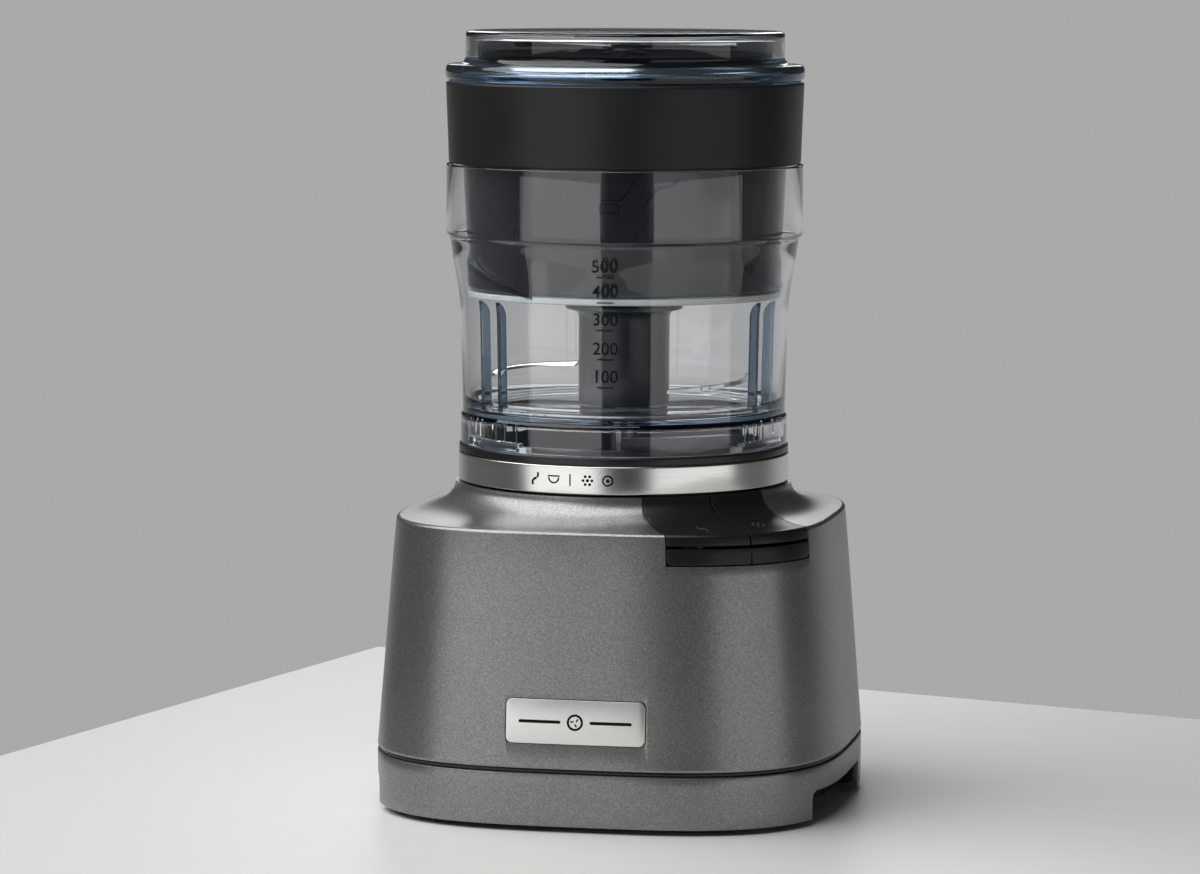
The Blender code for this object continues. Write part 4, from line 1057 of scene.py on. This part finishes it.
# ======================================================================= stage
def stage_material(name, rgb, rough, spec=0.3):
    m, nt, p, out = nodes_of(name)
    no = add(nt, "ShaderNodeTexNoise", Scale=60.0, Detail=6.0, Roughness=0.6)
    nt.links.new(coords(nt), no.inputs["Vector"])
    col = ramp(nt, no.outputs["Fac"], [(0.35, tuple(v * 0.985 for v in rgb)), (0.65, rgb)])
    nt.links.new(col.outputs[0], p.inputs["Base Color"])
    p.inputs["Roughness"].default_value = rough
    p.inputs["Specular IOR Level"].default_value = spec
    return m


FLOOR = [(-0.36, -0.48, 0), (1.3, -0.48, 0), (1.3, -0.14, 0), (-0.178, 0.335, 0)]


def plane(name, corners, material):
    me = bpy.data.meshes.new(name)
    me.from_pydata(corners, [], [tuple(range(len(corners)))])
    ob = new_object(name, me)
    me.materials.append(material)
    return ob


floor = plane("floor", FLOOR, stage_material("floor", (0.72, 0.72, 0.70), 0.42))

world = bpy.data.worlds.new("studio")
scene.world = world
world.use_nodes = True
wn = world.node_tree
bg = wn.nodes["Background"]
# a pale backdrop beyond the machine, a dark room on the other sides
wc = wn.nodes.new("ShaderNodeTexCoord")
ws = wn.nodes.new("ShaderNodeSeparateXYZ")
wn.links.new(wc.outputs["Generated"], ws.inputs[0])
wy = wn.nodes.new("ShaderNodeMapRange")
wy.inputs["From Min"].default_value = -1.0
wn.links.new(ws.outputs["Y"], wy.inputs["Value"])
wr = ramp(wn, wy.outputs["Result"], [(0.0, grey(0.016)), (0.2, grey(0.02)), (0.36, grey(0.08)), (0.5, grey(0.115)),
                                     (0.8, grey(0.13)), (0.94, (0.41, 0.41, 0.405)), (1.0, (0.44, 0.44, 0.435))])
wz = wn.nodes.new("ShaderNodeMapRange")
for key, val in (("From Min", -0.012), ("From Max", 0.014), ("To Min", 0.0), ("To Max", 1.0)):
    wz.inputs[key].default_value = val
wn.links.new(ws.outputs["Z"], wz.inputs["Value"])
wm = wn.nodes.new("ShaderNodeMix")
wm.data_type = "RGBA"
wn.links.new(wz.outputs["Result"], wm.inputs["Factor"])
wn.links.new(wr.outputs[0], wm.inputs["A"])
wm.inputs["B"].default_value = (0.045, 0.045, 0.048, 1)
wl = wn.nodes.new("ShaderNodeLightPath")
wv = wn.nodes.new("ShaderNodeMix")
wv.data_type = "RGBA"
wn.links.new(wl.outputs["Is Camera Ray"], wv.inputs["Factor"])
wn.links.new(wm.outputs["Result"], wv.inputs["A"])
wv.inputs["B"].default_value = (0.40, 0.40, 0.395, 1)
wn.links.new(wv.outputs["Result"], bg.inputs["Color"])


def softbox(name, azimuth, distance, z, width, height, radiance, aim=None, colour=(1, 1, 1)):
    la = bpy.data.lights.new(name, "AREA")
    la.shape, la.size, la.size_y, la.color = "RECTANGLE", width, height, colour
    la.energy = radiance * math.pi * width * height
    ob = bpy.data.objects.new(name, la)
    scene.collection.objects.link(ob)
    a = math.radians(azimuth)
    ob.location = (distance * math.sin(a), -distance * math.cos(a), z)
    d = Vector((0, 0, z if aim is None else aim)) - ob.location
    ob.rotation_mode = "QUATERNION"
    ob.rotation_quaternion = d.to_track_quat("-Z", "Y")
    return ob


softbox("left_box", -31, 1.5, -0.31, 1.53, 1.18, 1.2)
softbox("right_box", 60.5, 1.5, -0.31, 1.77, 1.18, 0.95)
softbox("top_box", -62, 0.95, 1.65, 2.5, 2.3, 3.2, aim=0.1)
softbox("back_box", 191, 1.5, 0.66, 0.62, 0.46, 2.6, aim=0.27)

cam = bpy.data.cameras.new("camera")
cam_ob = bpy.data.objects.new("camera", cam)
scene.collection.objects.link(cam_ob)
cam.sensor_width, cam.lens = 36.0, 144.325
cam.clip_start, cam.clip_end = 0.05, 50
Rv = Vector((0.97905854, 0.20354323, 0.00381163))
Uv = Vector((-0.02453419, 0.09938333, 0.99474672))
Fv = Vector((-0.20209514, 0.97400878, -0.10229586))
cam_ob.matrix_world = Matrix(((Rv.x, Uv.x, -Fv.x, 0.34542858), (Rv.y, Uv.y, -Fv.y, -1.70726263),
                              (Rv.z, Uv.z, -Fv.z, 0.31008689), (0, 0, 0, 1)))
scene.camera = cam_ob
scene.view_settings.view_transform = "Standard"
scene.cycles.max_bounces = 20
scene.cycles.transmission_bounces = 16
scene.cycles.glossy_bounces = 6
scene.cycles.transparent_max_bounces = 24
